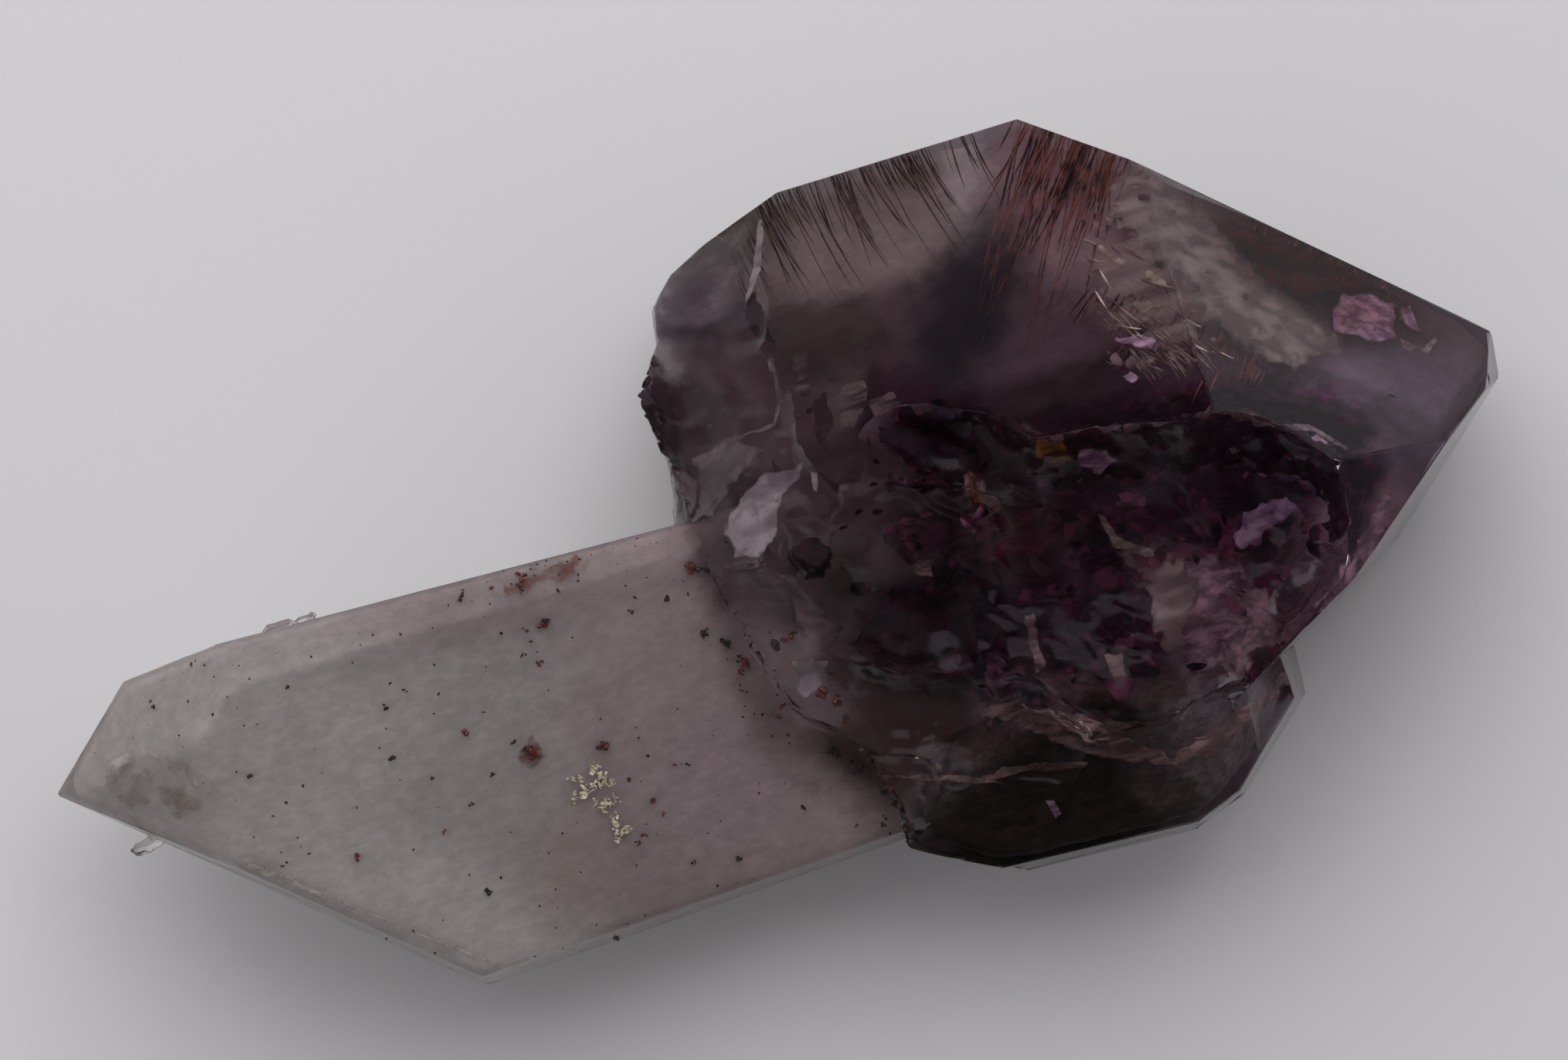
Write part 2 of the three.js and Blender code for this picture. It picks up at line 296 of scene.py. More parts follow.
# Colours that the crystal shows to the eye, laid one over the other from the stem to the head, each
# with its centre, radii, colour, turn, softness and strength. Most are the crystal's own colours; a few
# are painted shade, painted light and painted reflection, and their names say so.
MILK = (0.60, 0.54, 0.54)
ZONES = (
    Zone("pale stem point", (-27.0, -2.0), (8.0, 9.0), (0.65, 0.59, 0.57), 0, 0.6),
    Zone("pale low edge of the stem", (-17.0, -9.5), (9.0, 3.0), (0.80, 0.74, 0.72), -38, 0.6, 0.8),
    # Partly painted shade: the stem's upper face is made darker and a little browner, to hold back the extra
    # light the key lamp gives it.
    Zone("upper edge of the stem", (-9.0, 2.4), (11.0, 1.7), (0.46, 0.37, 0.37), 0, 0.6, 0.8),
    Zone("stained middle of the stem", (-9.6, -9.0), (3.6, 3.0), (0.50, 0.41, 0.38), 10, 0.8, 0.8),
    Zone("light middle of the stem", (-19.5, -1.2), (4.8, 3.2), (0.72, 0.665, 0.65), 0, 0.8),
    Zone("low edge near the root", (-2.8, -11.0), (6.0, 2.8), (0.38, 0.30, 0.31), 0, 0.7),
    Zone("brown cloud in the stem", (-8.2, -4.4), (1.1, 1.8), (0.45, 0.36, 0.35), 0, 0.9, 0.6),
    Zone("stem's root", (0.5, -4.5), (8.5, 9.5), (0.57, 0.445, 0.455), 0, 0.6),
    Zone("lilac middle of the root", (-4.6, -7.2), (3.0, 2.6), (0.52, 0.40, 0.45), 0, 0.8, 0.7),
    Zone("head", (14.5, 2.5), (17.3, 15.0), (0.115, 0.064, 0.076), 0, 0.08),
    Zone("ground of the curtain", (7.6, 11.7), (6.6, 2.7), (0.38, 0.28, 0.27), 0, 0.45),
    Zone("olive outer rim", (2.0, 13.2), (2.8, 1.1), (0.115, 0.092, 0.083), 24, 0.5),
    Zone("clear wedge", (11.9, 11.9), (1.0, 2.6), (0.55, 0.45, 0.46), -12, 0.5),
    Zone("ground of the fan", (15.2, 10.0), (2.8, 3.1), (0.46, 0.28, 0.315), 40, 0.5),
    Zone("violet under the fan", (15.0, 3.4), (5.4, 2.2), (0.135, 0.072, 0.094), 0, 0.6),
    Zone("streaked ground", (17.4, 5.6), (2.2, 1.8), (0.38, 0.25, 0.27), -40, 0.5),
    # Painted shade: a blue-black wedge of shade inside the head.
    Zone("blue-black wedge", (10.2, 7.0), (4.3, 1.7), (0.028, 0.021, 0.030), 54, 0.55),
    Zone("left facet", (0.4, 10.6), (2.4, 1.6), (0.125, 0.086, 0.104), -18, 0.45),
    Zone("violet lobe", (-1.8, 6.6), (2.6, 2.5), (0.058, 0.027, 0.035), 0, 0.4),
    # Painted reflection: the pale band where the point's face reflects the sky.
    Zone("pale band", (20.4, 5.2), (4.9, 1.35), (0.34, 0.26, 0.25), -60, 0.5),
    Zone("red-brown strip", (23.7, 4.9), (4.6, 1.25), (0.045, 0.010, 0.010), -43, 0.4),
    Zone("grey-violet end", (24.9, -1.0), (4.4, 2.3), (0.20, 0.14, 0.19), -10, 0.5),
    Zone("violet edge of the end", (22.6, 0.2), (1.8, 1.1), (0.42, 0.28, 0.42), 0, 0.6),
    Zone("brown ledge", (0.0, 2.0), (2.6, 2.4), (0.19, 0.13, 0.14), 0, 0.5),
    Zone("brown root", (1.4, -3.0), (2.2, 3.8), (0.135, 0.088, 0.094), 0, 0.5),
    # Partly painted light: the stem's own colour near the root, made lighter to offset the shadow that the
    # head casts on it.
    Zone("stem beside the root", (-1.0, -4.8), (1.9, 3.4), (0.38, 0.285, 0.30), 0, 0.5),
    Zone("hollow", (11.2, -3.4), (9.2, 5.6), (0.036, 0.017, 0.024), -6, 0.25),
    Zone("violet beside the band", (18.0, 1.8), (2.2, 1.1), (0.25, 0.14, 0.195), -10, 0.5),
    Zone("brown under the fan", (12.6, 2.6), (2.4, 1.0), (0.10, 0.062, 0.066), 0, 0.5),
    Zone("dark root", (2.4, -0.6), (1.8, 1.6), (0.050, 0.034, 0.034), 0, 0.6),
    Zone("brown middle", (4.9, -0.2), (1.5, 1.4), (0.13, 0.085, 0.092), 0, 0.6),
    Zone("red-brown middle", (9.2, -0.9), (1.9, 1.5), (0.10, 0.040, 0.044), 0, 0.6),
    Zone("violet bowl", (11.0, -5.0), (2.4, 2.2), (0.10, 0.05, 0.075), 0, 0.6),
    Zone("upper bowl", (15.2, -1.2), (2.0, 1.1), (0.085, 0.036, 0.060), 0, 0.6),
    Zone("pale-brown side of the peak", (4.7, 5.2), (1.1, 1.8), (0.19, 0.125, 0.135), -20, 0.5),
    Zone("red-black peak", (7.0, 3.8), (2.6, 1.6), (0.034, 0.008, 0.020), -20, 0.4),
    Zone("veil's ground", (15.6, -5.6), (2.2, 2.8), (0.30, 0.14, 0.20), 10, 0.5),
    Zone("violet-black end", (19.9, -2.2), (3.3, 1.9), (0.030, 0.011, 0.028), -12, 0.3),
    Zone("brown rim", (19.4, -7.4), (3.2, 1.3), (0.20, 0.11, 0.13), 40, 0.5),
    Zone("rim of the end", (22.2, -5.0), (2.6, 1.1), (0.40, 0.24, 0.30), 56, 0.5),
    Zone("brown foot", (2.6, -7.6), (2.8, 2.9), (0.110, 0.066, 0.062), 0, 0.5),
    Zone("lip", (11.6, -9.4), (5.6, 1.3), (0.16, 0.08, 0.084), -12, 0.5),
    Zone("left end of the lip", (8.0, -7.9), (2.0, 0.9), (0.24, 0.125, 0.155), -20, 0.5),
    Zone("side crystal", (9.6, -11.9), (8.0, 2.8), (0.034, 0.023, 0.020), 0, 0.25),
    Zone("grey end of the side crystal", (16.0, -11.4), (3.8, 2.3), (0.27, 0.20, 0.21), 0, 0.6),
    Zone("bright rim of the side crystal", (16.4, -10.3), (2.6, 0.8), (0.42, 0.33, 0.38), -10, 0.6),
)


def zone_colour_group(zones: tuple[Zone, ...]) -> bpy.types.NodeTree:
    """Node group: the colour at a place of the crystal, its own colour with some painted shade, light and
    reflection laid in.

    Args:
        zones: The coloured zones, laid in order.

    Returns:
        A group with a Place in millimetres in and a Color out.
    """
    tree = bpy.data.node_groups.new("zone_colour_and_painted_light", "ShaderNodeTree")
    weave = Weaver(tree)
    tree.interface.new_socket("Place", in_out="INPUT", socket_type="NodeSocketVector")
    tree.interface.new_socket("Color", in_out="OUTPUT", socket_type="NodeSocketColor")
    place = weave.add("NodeGroupInput").outputs["Place"]
    drift = weave.noise(place, 0.55, 3.0, 0.6).outputs["Color"]
    centred = weave.vector("SUBTRACT", drift, (0.5, 0.5, 0.5))
    strayed = weave.vector("ADD", place, weave.vector("MULTIPLY", centred, (2.6, 2.6, 2.6)))
    turned = {turn: weave.turned(strayed, turn) for turn in dict.fromkeys(zone.turn for zone in zones)}
    colour = rgba(MILK)
    for zone in zones:
        inside = weave.fitted(turned[zone.turn], *zone.fit())
        reach = weave.add("VectorMath", {0: inside}, operation="LENGTH").outputs["Value"]
        mask = weave.ramp(reach, 1 + zone.soft, 1 - zone.soft, 0.0, zone.strength)
        colour = weave.blend(mask, colour, rgba(zone.colour))
        colour.node.label = zone.name
    weave.add("NodeGroupOutput", {"Color": colour})
    return tree


class Paint:
    """A new material: its nodes, its place in millimetres, its shader and its output."""

    def __init__(self, name: str) -> None:
        """Opens the material.

        Args:
            name: The finish's name.
        """
        self.material = bpy.data.materials.new(name)
        self.material.use_nodes = True
        self.weave = Weaver(self.material.node_tree)
        where = self.weave.add("TexCoord").outputs["Object"]
        shift = tuple(-v / MM for v in ORIGIN)
        self.place = self.weave.fitted(where, (1 / MM,) * 3, shift)
        self.shader = self.weave.add("BsdfPrincipled")
        self.out = self.weave.add("OutputMaterial", {"Surface": self.shader.outputs[0]})

    def link(self, socket: str, value: object) -> None:
        """Feeds one of the shader's sockets with a value that changes over the surface."""
        self.weave.put(self.shader.inputs[socket], value)

    def plain(self, **values: object) -> None:
        """Sets the shader's own values, with spaces in their names written as underscores."""
        for key, value in values.items():
            self.shader.inputs[key.replace("_", " ")].default_value = value

    def zoned(self, zone_tree: bpy.types.NodeTree, gamma: float) -> object:
        """The zone colour of a place, painted shade and light included, lightened by a gamma below 1."""
        group = self.weave.add("Group", node_tree=zone_tree)
        self.weave.put(group.inputs["Place"], self.place)
        inputs = {"Color": group.outputs["Color"], "Gamma": gamma}
        return self.weave.add("Gamma", inputs).outputs[0]

    def along(self, turn: float, stretch: float) -> object:
        """The place, stretched along the c axis, then turned about +Z by an angle in degrees.

        The turn only picks another part of a noise: its streaks run along the c axis.
        """
        inputs = {"Vector": self.place, "Rotation": (0, 0, math.radians(-turn)),
                  "Scale": (1 / stretch, 1, 1)}
        return self.weave.add("Mapping", inputs).outputs[0]


@dataclass(frozen=True)
class ClearQuartz:
    """Clear quartz of the skin: smooth on the head, etched on the stem, dull where it broke."""

    name: str = "clear_quartz"
    tint: float = 0.26
    index: float = 1.544
    absorbed: Colour = (0.60, 0.46, 0.62)
    density: float = 55.0
    gloss: Colour = (0.15, 0.13, 0.15)
    smooth: Pair = (0.03, 0.14)
    frosted: Pair = (0.10, 0.22)
    dull: Pair = (0.08, 0.24)
    bump: float = 0.07

    def build(self, zone_tree: bpy.types.NodeTree) -> bpy.types.Material:
        """Makes the material."""
        paint = Paint(self.name)
        weave = paint.weave
        x = weave.add("SeparateXYZ", {0: paint.place}).outputs["X"]
        broken = weave.add("Attribute", attribute_name=BROKEN).outputs["Fac"]
        etched = weave.noise(paint.place, 1.3, 3.0, 0.6).outputs["Fac"]
        smooth = weave.ramp(etched, 0.35, 0.75, *self.smooth)
        frosted = weave.ramp(etched, 0.3, 0.7, *self.frosted)
        dull = weave.ramp(etched, 0.35, 0.65, *self.dull)
        head = weave.between(broken, smooth, dull)
        paint.link("Base Color", paint.zoned(zone_tree, self.tint))
        paint.link("Roughness", weave.between(weave.ramp(x, 1.5, -2.5), head, frosted))
        bump = weave.add("Bump", {"Height": etched, "Strength": self.bump, "Distance": 0.1 * MM})
        paint.link("Normal", bump.outputs[0])
        paint.plain(Transmission_Weight=1.0, IOR=self.index, Specular_Tint=rgba(self.gloss))
        inside = weave.add("VolumeAbsorption")
        inside.inputs["Color"].default_value = rgba(self.absorbed)
        inside.inputs["Density"].default_value = self.density
        weave.put(paint.out.inputs["Volume"], inside.outputs[0])
        return paint.material


@dataclass(frozen=True)
class CloudyQuartz:
    """Cloudy quartz inside the crystal, in the zone colour there, painted shade and light included.

    Flecks are the strength of its lighter and darker flecks near the break, calm their strength
    under the upper faces, and wander the share of redder patches near the break.
    """

    name: str
    gamma: float = 0.72
    rough: float = 0.5
    flecks: float = 0.3
    calm: float = 0.3
    wander: float = 0.0
    redder: Colour = (1.5, 0.72, 1.12)

    def build(self, zone_tree: bpy.types.NodeTree) -> bpy.types.Material:
        """Makes the material."""
        paint = Paint(self.name)
        weave = paint.weave
        where = weave.add("SeparateXYZ", {0: paint.place}).outputs
        near = weave.math("MULTIPLY", weave.ramp(where["Y"], 2.0, 0.0), weave.ramp(where["X"], 23.5, 21.5))
        loose = weave.between(near, self.calm, self.flecks)
        cloud = weave.noise(paint.place, 0.9, 3.0, 0.65).outputs["Fac"]
        fleck = weave.noise(paint.along(40, 1.8), 2.6, 3.0, 0.7).outputs["Fac"]
        patch = weave.noise(paint.along(-30, 1.6), 0.7, 2.0, 0.5).outputs["Fac"]
        colour = paint.zoned(zone_tree, self.gamma)
        red = weave.math("MULTIPLY", weave.ramp(patch, 0.45, 0.6, 0.0, self.wander), near)
        colour = weave.blend(red, colour, weave.vector("MULTIPLY", colour, self.redder))
        for value, low in ((weave.ramp(cloud, 0.32, 0.68), 0.3), (weave.ramp(fleck, 0.35, 0.7), 0.0)):
            shade = weave.grey(weave.between(value, low, 1.0))
            colour = weave.blend(loose, colour, shade, "MULTIPLY")
        paint.link("Base Color", colour)
        paint.plain(Roughness=self.rough, Specular_IOR_Level=0.1)
        return paint.material


@dataclass(frozen=True)
class GrainyMineral:
    """A dull mineral whose colour wanders between two, over a scale per millimetre."""

    name: str
    dark: Colour
    light: Colour
    scale: float
    shine: float = 0.5

    def build(self) -> bpy.types.Material:
        """Makes the material."""
        paint = Paint(self.name)
        weave = paint.weave
        tone = weave.noise(paint.place, self.scale).outputs["Fac"]
        mask = weave.ramp(tone, 0.4, 0.62)
        paint.link("Base Color", weave.blend(mask, rgba(self.dark), rgba(self.light)))
        paint.link("Roughness", weave.ramp(tone, 0.3, 0.7, 0.75, 0.4))
        paint.plain(Specular_IOR_Level=self.shine)
        return paint.material


@dataclass(frozen=True)
class VeilFinish:
    """The finish of a veil that shines in streaks and thins out towards its rim, for healed fractures and
    stains and for painted glints, flashes, highlights and reflections.
    """

    name: str
    dark: Colour
    light: Colour
    turn: float = 60.0
    stretch: float = 3.0
    scale: float = 1.7
    thin: float = 0.35
    cover: float = 0.9
    fine: float = 0.6

    def build(self) -> bpy.types.Material:
        """Makes the material."""
        paint = Paint(self.name)
        weave = paint.weave
        fade = weave.add("Attribute", attribute_name=FADE).outputs["Fac"]
        streak = weave.noise(paint.along(self.turn, self.stretch), self.scale, 3.0, self.fine)
        cloud = weave.noise(paint.place, 1.3, 3.0, 0.6).outputs["Fac"]
        light = weave.ramp(streak.outputs["Fac"], 0.36, 0.66)
        thick = weave.math("MULTIPLY", weave.ramp(fade, 0.0, 0.8), weave.ramp(cloud, 0.2, 0.48))
        paint.link("Base Color", weave.blend(light, rgba(self.dark), rgba(self.light)))
        paint.link("Alpha", weave.math("MULTIPLY", thick, weave.between(light, self.thin, self.cover)))
        paint.plain(Roughness=0.35, Specular_IOR_Level=0.3)
        return paint.material


def flat_crystal(name: str, faces: Faces) -> bpy.types.Object:
    """A convex crystal cut from a block by flat faces.

    Args:
        name: The piece's name.
        faces: Outward normal and a point of each face, the point in millimetres.

    Returns:
        The crystal, at the origin with its place in its mesh.
    """
    bpy.ops.object.select_all(action="DESELECT")
    bpy.ops.mesh.primitive_cube_add(size=80 * MM, location=placed(0, 0, 8))
    block = bpy.context.active_object
    block.name = block.data.name = name
    bpy.ops.object.transform_apply(location=True, rotation=True, scale=True)
    open_edit(block)
    for normal, point in faces:
        bpy.ops.mesh.select_all(action="SELECT")
        bpy.ops.mesh.bisect(plane_co=placed(*point), plane_no=normal, use_fill=True,
                            clear_outer=True)
    bpy.ops.mesh.select_all(action="SELECT")
    bpy.ops.mesh.normals_make_consistent(inside=False)
    close_edit()
    return block


def prism(axis: Vector, distances: dict[Side, float]) -> Faces:
    """The prism faces at their distances from an axis."""
    return [(across(side), axis + across(side) * reach) for side, reach in distances.items()]


def point(axis: Vector, x: float, direction: int, push: dict[Side, float]) -> Faces:
    """The six faces of a point at the end of a crystal.

    Args:
        axis: A point of the crystal's axis.
        x: Where the axis meets the point's tip.
        direction: 1 for a point that looks along +X, -1 for one along -X.
        push: How far each face stands out from the tip, 0 where it isn't named.

    Returns:
        Outward normal and a point of each face.
    """
    slope = math.radians(POINT_SLOPE)
    faces = []
    for side in Side:
        normal = across(side) * math.cos(slope) + Vector((direction * math.sin(slope), 0, 0))
        faces.append((normal, Vector((x, axis.y, axis.z)) + normal * push.get(side, 0.0)))
    return faces


def keep_inside(piece: bpy.types.Object) -> None:
    """Holds a piece's vertices inside the box of the frame's solid."""
    low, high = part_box(NODE)
    for vertex in piece.data.vertices:
        vertex.co = Vector([min(max(c, a), b) for c, a, b in zip(vertex.co, low, high)])


def shell_pits(spot: Vector, size: float, lean: float) -> float:
    """Height of a shell-shaped break over a place.

    Args:
        spot: The place in millimetres.
        size: Distance between the pits in millimetres.
        lean: How far the pits tilt, as a slope.

    Returns:
        The height in millimetres above the pits' floors, with sharp ridges between them.
    """
    reaches, pits = noise.voronoi(spot / size)
    heights = [0.4 * reach + (spot / size - pit).dot(noise.cell_vector(pit * 7.3)) * lean
               for reach, pit in zip(reaches, pits)]
    return min(heights) * size


def face_normals(mesh: bpy.types.Mesh) -> np.ndarray:
    """The normals of a mesh's faces."""
    return np.array([face.normal for face in mesh.polygons])


@dataclass
class CrystalSkin:
    """The clear outer surface: the specimen's own faces with worn edges and a finer break.

    Lengths are in millimetres, areas in square millimetres and angles in degrees. Pits have a
    share of their height, a distance between them and a lean.
    """

    name: str = "clear_crystal"
    clean_area: float = 3.2
    clean_above: float = 9.6
    worn_edge: float = 0.07
    sharp_from: float = 18.0
    cuts: int = 2
    rim_steps: int = 4
    large_pits: Triple = (0.14, 2.4, 0.8)
    fine_pits: Triple = (0.10, 0.9, 0.7)
    mean_rise: float = 0.16
    settle_steps: int = 8
    merge: float = 0.002
    flat_within: float = 0.5
    smooth_within: float = 22.0

    def build(self) -> bpy.types.Object:
        """Makes the skin from a merged copy of the frame's solid."""
        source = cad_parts[NODE]
        skin = add_mesh(self.name, source.data.copy())
        skin.data.materials.clear()
        open_edit(skin)
        bpy.ops.mesh.select_all(action="SELECT")
        bpy.ops.mesh.remove_doubles(threshold=self.merge * MM)
        bpy.ops.mesh.select_all(action="SELECT")
        bpy.ops.mesh.dissolve_limited(angle_limit=math.radians(self.flat_within))
        close_edit()
        self.wear_edges(skin)
        self.refine_break(skin)
        only(skin)
        bpy.ops.object.shade_smooth_by_angle(angle=math.radians(self.smooth_within))
        for face in skin.data.polygons:
            if face.area > self.clean_area * MM * MM:
                face.use_smooth = False
        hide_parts(NODE)
        return skin

    def wear_edges(self, skin: bpy.types.Object) -> None:
        """Rounds the long edges between clean faces by a little."""
        open_edit(skin)
        bpy.ops.mesh.select_mode(type="EDGE")
        bpy.ops.mesh.select_all(action="DESELECT")
        work = bmesh.from_edit_mesh(skin.data)
        least = self.clean_area * MM * MM
        for edge in work.edges:
            clean = len(edge.link_faces) == 2 and all(f.calc_area() > least for f in edge.link_faces)
            edge.select = clean and edge.calc_face_angle(0.0) > math.radians(self.sharp_from)
        bmesh.update_edit_mesh(skin.data)
        bpy.ops.mesh.bevel(offset=self.worn_edge * MM, segments=2, affect="EDGES",
                           clamp_overlap=False)
        close_edit()

    def refine_break(self, skin: bpy.types.Object) -> None:
        """Cuts the broken surfaces finer and gives them shell-shaped pits, large and small."""
        broken = [not self.is_clean(face, self.clean_area) for face in skin.data.polygons]
        open_edit(skin)
        select_faces(skin, broken)
        bpy.ops.mesh.subdivide(number_cuts=self.cuts, smoothness=0.0)
        close_edit()
        start = np.array([vertex.co for vertex in skin.data.vertices])
        facing = face_normals(skin.data)
        open_edit(skin)
        bpy.ops.mesh.vertices_smooth(factor=0.5, repeat=1)
        close_edit()
        marks = self.inside_break(skin)
        ends = []
        for vertex, mark in zip(skin.data.vertices, marks):
            rise = self.pitted(vertex.co / MM)
            ends.append(vertex.co + vertex.normal * (rise * mark * MM) if mark else vertex.co)
        self.settle(skin, start, np.array(ends) - start, facing)
        keep_inside(skin)
        point_values(skin, BROKEN, marks)

    def pitted(self, spot: Vector) -> float:
        """Height in millimetres of the pitted break over a place in millimetres."""
        return sum(share * shell_pits(spot, size, lean)
                   for share, size, lean in (self.large_pits, self.fine_pits)) - self.mean_rise

    def settle(self, skin: bpy.types.Object, start: np.ndarray, moves: np.ndarray,
               facing: np.ndarray) -> None:
        """Moves the vertices, by less where a face would turn over.

        Args:
            skin: The skin.
            start: Its vertices' places before the move.
            moves: How far each vertex moves.
            facing: The faces' normals before the move.
        """
        share = np.ones(len(start))
        for _ in range(self.settle_steps):
            skin.data.vertices.foreach_set("co", (start + moves * share[:, None]).ravel())
            skin.data.update()
            turned = (face_normals(skin.data) * facing).sum(axis=1) < 0.5
            folded = [i for face, flag in zip(skin.data.polygons, turned) if flag for i in face.vertices]
            share[folded] *= 0.5
        log.info("%s: %d faces still turned", skin.name, int(turned.sum()))

    def is_clean(self, face: bpy.types.MeshPolygon, least: float) -> bool:
        """Whether a face is larger than an area in square millimetres or lies on the shoulder."""
        return face.area > least * MM * MM or (face.center - ORIGIN).y > self.clean_above * MM

    def inside_break(self, skin: bpy.types.Object) -> list[float]:
        """How far each vertex lies inside the broken surfaces: 0 at clean faces, then up to 1."""
        clean = [face for face in skin.data.polygons if self.is_clean(face, self.clean_area / 4)]
        edges = np.array([edge.vertices for edge in skin.data.edges])
        steps = np.full(len(skin.data.vertices), float(self.rim_steps))
        steps[[i for face in clean for i in face.vertices]] = 0.0
        for _ in range(self.rim_steps):
            for a, b in (edges.T, edges.T[::-1]):
                np.minimum.at(steps, a, steps[b] + 1.0)
        return (steps / self.rim_steps).tolist()


@dataclass
class InnerBody:
    """A cloudy body inside the crystal, cut flat like the crystal and rounded."""

    name: str
    faces: Faces
    rounding: float
    ripple: float
    swell_size: float = 1.8
    voxel: float = 0.35

    def build(self) -> bpy.types.Object:
        """Cuts the body from a block, rounds its edges and lets its surface wander."""
        body = flat_crystal(self.name, self.faces)
        apply_modifier(body, "BEVEL", width=self.rounding * MM, segments=3, limit_method="NONE")
        apply_modifier(body, "REMESH", mode="VOXEL", voxel_size=self.voxel * MM)
        for vertex in body.data.vertices:
            swell = noise.fractal(vertex.co / (self.swell_size * MM), 1.0, 2.0, 3)
            vertex.co += vertex.normal * (swell * self.ripple * MM)
        only(body)
        bpy.ops.object.shade_smooth()
        return body


def leaning(faces: Faces, taper: float, waist_x: float) -> Faces:
    """Prism faces that draw in towards +X from a waist, by a taper in degrees."""
    lean = Vector((math.sin(math.radians(taper)), 0, 0))
    return [(normal + lean, Vector((waist_x, spot.y, spot.z))) for normal, spot in faces]


def stem_cloud() -> InnerBody:
    """The milky inside of the stem, a little below its faces."""
    sides = {Side.FRONT: 4.95, Side.UPPER: 6.45, Side.TOP: 2.95, Side.BACK: 3.9, Side.UNDER: 10.5,
             Side.LOW: 11.85}
    faces = leaning(prism(STEM_AXIS, sides), 2.3, -20) + point(STEM_AXIS, -29.4, -1, {})
    faces.append((Vector((0.5, 0, 0.866)), Vector((2.2, 0, 13.0))))
    faces.append((Vector((1, 0, 0)), Vector((7.0, 0, 0))))
    return InnerBody("milky_stem", faces, 0.3, 0.08)


def head_core() -> InnerBody:
    """The smoky inside of the head, deep below the faces that look up and close to the others."""
    sides = {Side.FRONT: 4.0, Side.UPPER: 6.6, Side.TOP: 12.7, Side.BACK: 8.0, Side.UNDER: 8.2,
             Side.LOW: 10.0}
    push = {Side.FRONT: 1.1, Side.UPPER: -2.1, Side.TOP: -0.8, Side.UNDER: 0.8, Side.LOW: -0.3}
    faces = prism(HEAD_AXIS, sides) + point(HEAD_AXIS, 30.9, 1, push)
    faces.append((Vector((0.96, -0.2, 0.2)), Vector((29.2, 0.4, 7.5))))
    faces.append((Vector((0.479, -0.878, 0.05)), Vector((20.1, -7.3, 8))))
    faces.append((Vector((-1, 0, 0)), Vector((-1.8, 0, 0))))
    faces.append((Vector((-0.75, 0.66, 0)), Vector((-0.3, 11.6, 0))))
    faces.append((Vector((-0.7, -0.7, 0)), Vector((-0.6, -5.2, 0))))
    faces.append((Vector((0, 0, -1)), Vector((0, 0, 0.5))))
    return InnerBody("smoky_head", faces, 0.5, 0.3)


def side_core() -> InnerBody:
    """The near-black inside of the small crystal."""
    faces = [
        (Vector((0, -0.391, 0.921)), Vector((10, -9.3, 11.1))),
        (Vector((-0.063, -0.99, 0.12)), Vector((9.3, -13.4, 9))),
        (Vector((0, -0.602, -0.799)), Vector((10, -13.6, 7.2))),
        (Vector((0, 0.391, -0.921)), Vector((10, -9, 3.4))),
        (Vector((0, 1, 0)), Vector((10, -7.4, 8))),
        (Vector((-1, 0, 0)), Vector((3.2, 0, 0))),
        (Vector((-0.6, -0.8, 0)), Vector((4.6, -12.6, 8))),
        (Vector((-0.3, 0.6, 0.74)), Vector((7.0, -8.6, 11.0))),
        (Vector((0.682, -0.731, 0.1)), Vector((15.3, -12.3, 8.5))),
        (Vector((0.99, 0, 0.12)), Vector((16.4, -10, 8))),
    ]
    return InnerBody("dark_side_crystal", faces, 0.7, 0.15)


class SkinDepth:
    """Finds places at a depth below the skin."""

    def __init__(self, skin: bpy.types.Object) -> None:
        """Takes the finished skin."""
        mesh = skin.data
        self.tree = BVHTree.FromPolygons([v.co for v in mesh.vertices],
                                         [p.vertices for p in mesh.polygons])

    def below(self, x: float, y: float, depth: float) -> Vector | None:
        """The place straight below the skin's upper side.

        Args:
            x: Millimetres along the axis.
            y: Millimetres across it.
            depth: Millimetres below the skin.

        Returns:
            The place in metres, or None beside the crystal.
        """
        hit = self.tree.ray_cast(placed(x, y, 40), Vector((0, 0, -1)))[0]
        return hit - Vector((0, 0, depth * MM)) if hit else None

    def wall(self, inner: Vector, out: Vector, depth: float = 0.12) -> Vector | None:
        """The place just inside the skin that a ray from within reaches.

        Args:
            inner: The ray's start in millimetres, inside the crystal.
            out: The ray's direction.
            depth: Millimetres left between the place and the skin.

        Returns:
            The place in metres, or None if the ray starts outside.
        """
        straight = out.normalized()
        hit, normal = self.tree.ray_cast(placed(*inner), straight)[:2]
        if hit is None or normal.dot(straight) < 0.0:
            return None
        return hit - straight * (depth * MM)

    def inward(self, x: float, angle: float, axis: Vector, depth: float) -> Vector | None:
        """The place at a depth below the skin where a ray towards the axis enters.

        Args:
            x: Millimetres along the axis.
            angle: Direction of the ray's start about the axis, in radians.
            axis: A point of the axis.
            depth: Millimetres below the skin.

        Returns:
            The place in metres, or None if the ray misses.
        """
        out = Vector((0, math.sin(angle), math.cos(angle)))
        hit = self.tree.ray_cast(placed(x, axis.y, axis.z) + out * (30 * MM), -out)[0]
        return hit - out * (depth * MM) if hit else None


def rim_distance(places: np.ndarray, outline: Outline) -> np.ndarray:
    """Distance of places to an outline, positive inside it and negative outside."""
    corners = np.array(outline)
    near = np.full(len(places), np.inf)
    inside = np.zeros(len(places), dtype=bool)
    for a, b in zip(corners, np.roll(corners, -1, axis=0)):
        along = b - a
        part = np.clip((places - a) @ along / (along @ along), 0.0, 1.0)
        near = np.minimum(near, np.linalg.norm(places - a - part[:, None] * along, axis=1))
        crossed = (a[1] > places[:, 1]) != (b[1] > places[:, 1])
        level = a[0] + (places[:, 1] - a[1]) * along[0] / (along[1] or 1.0)
        inside ^= crossed & (places[:, 0] < level)
    return np.where(inside, near, -near)


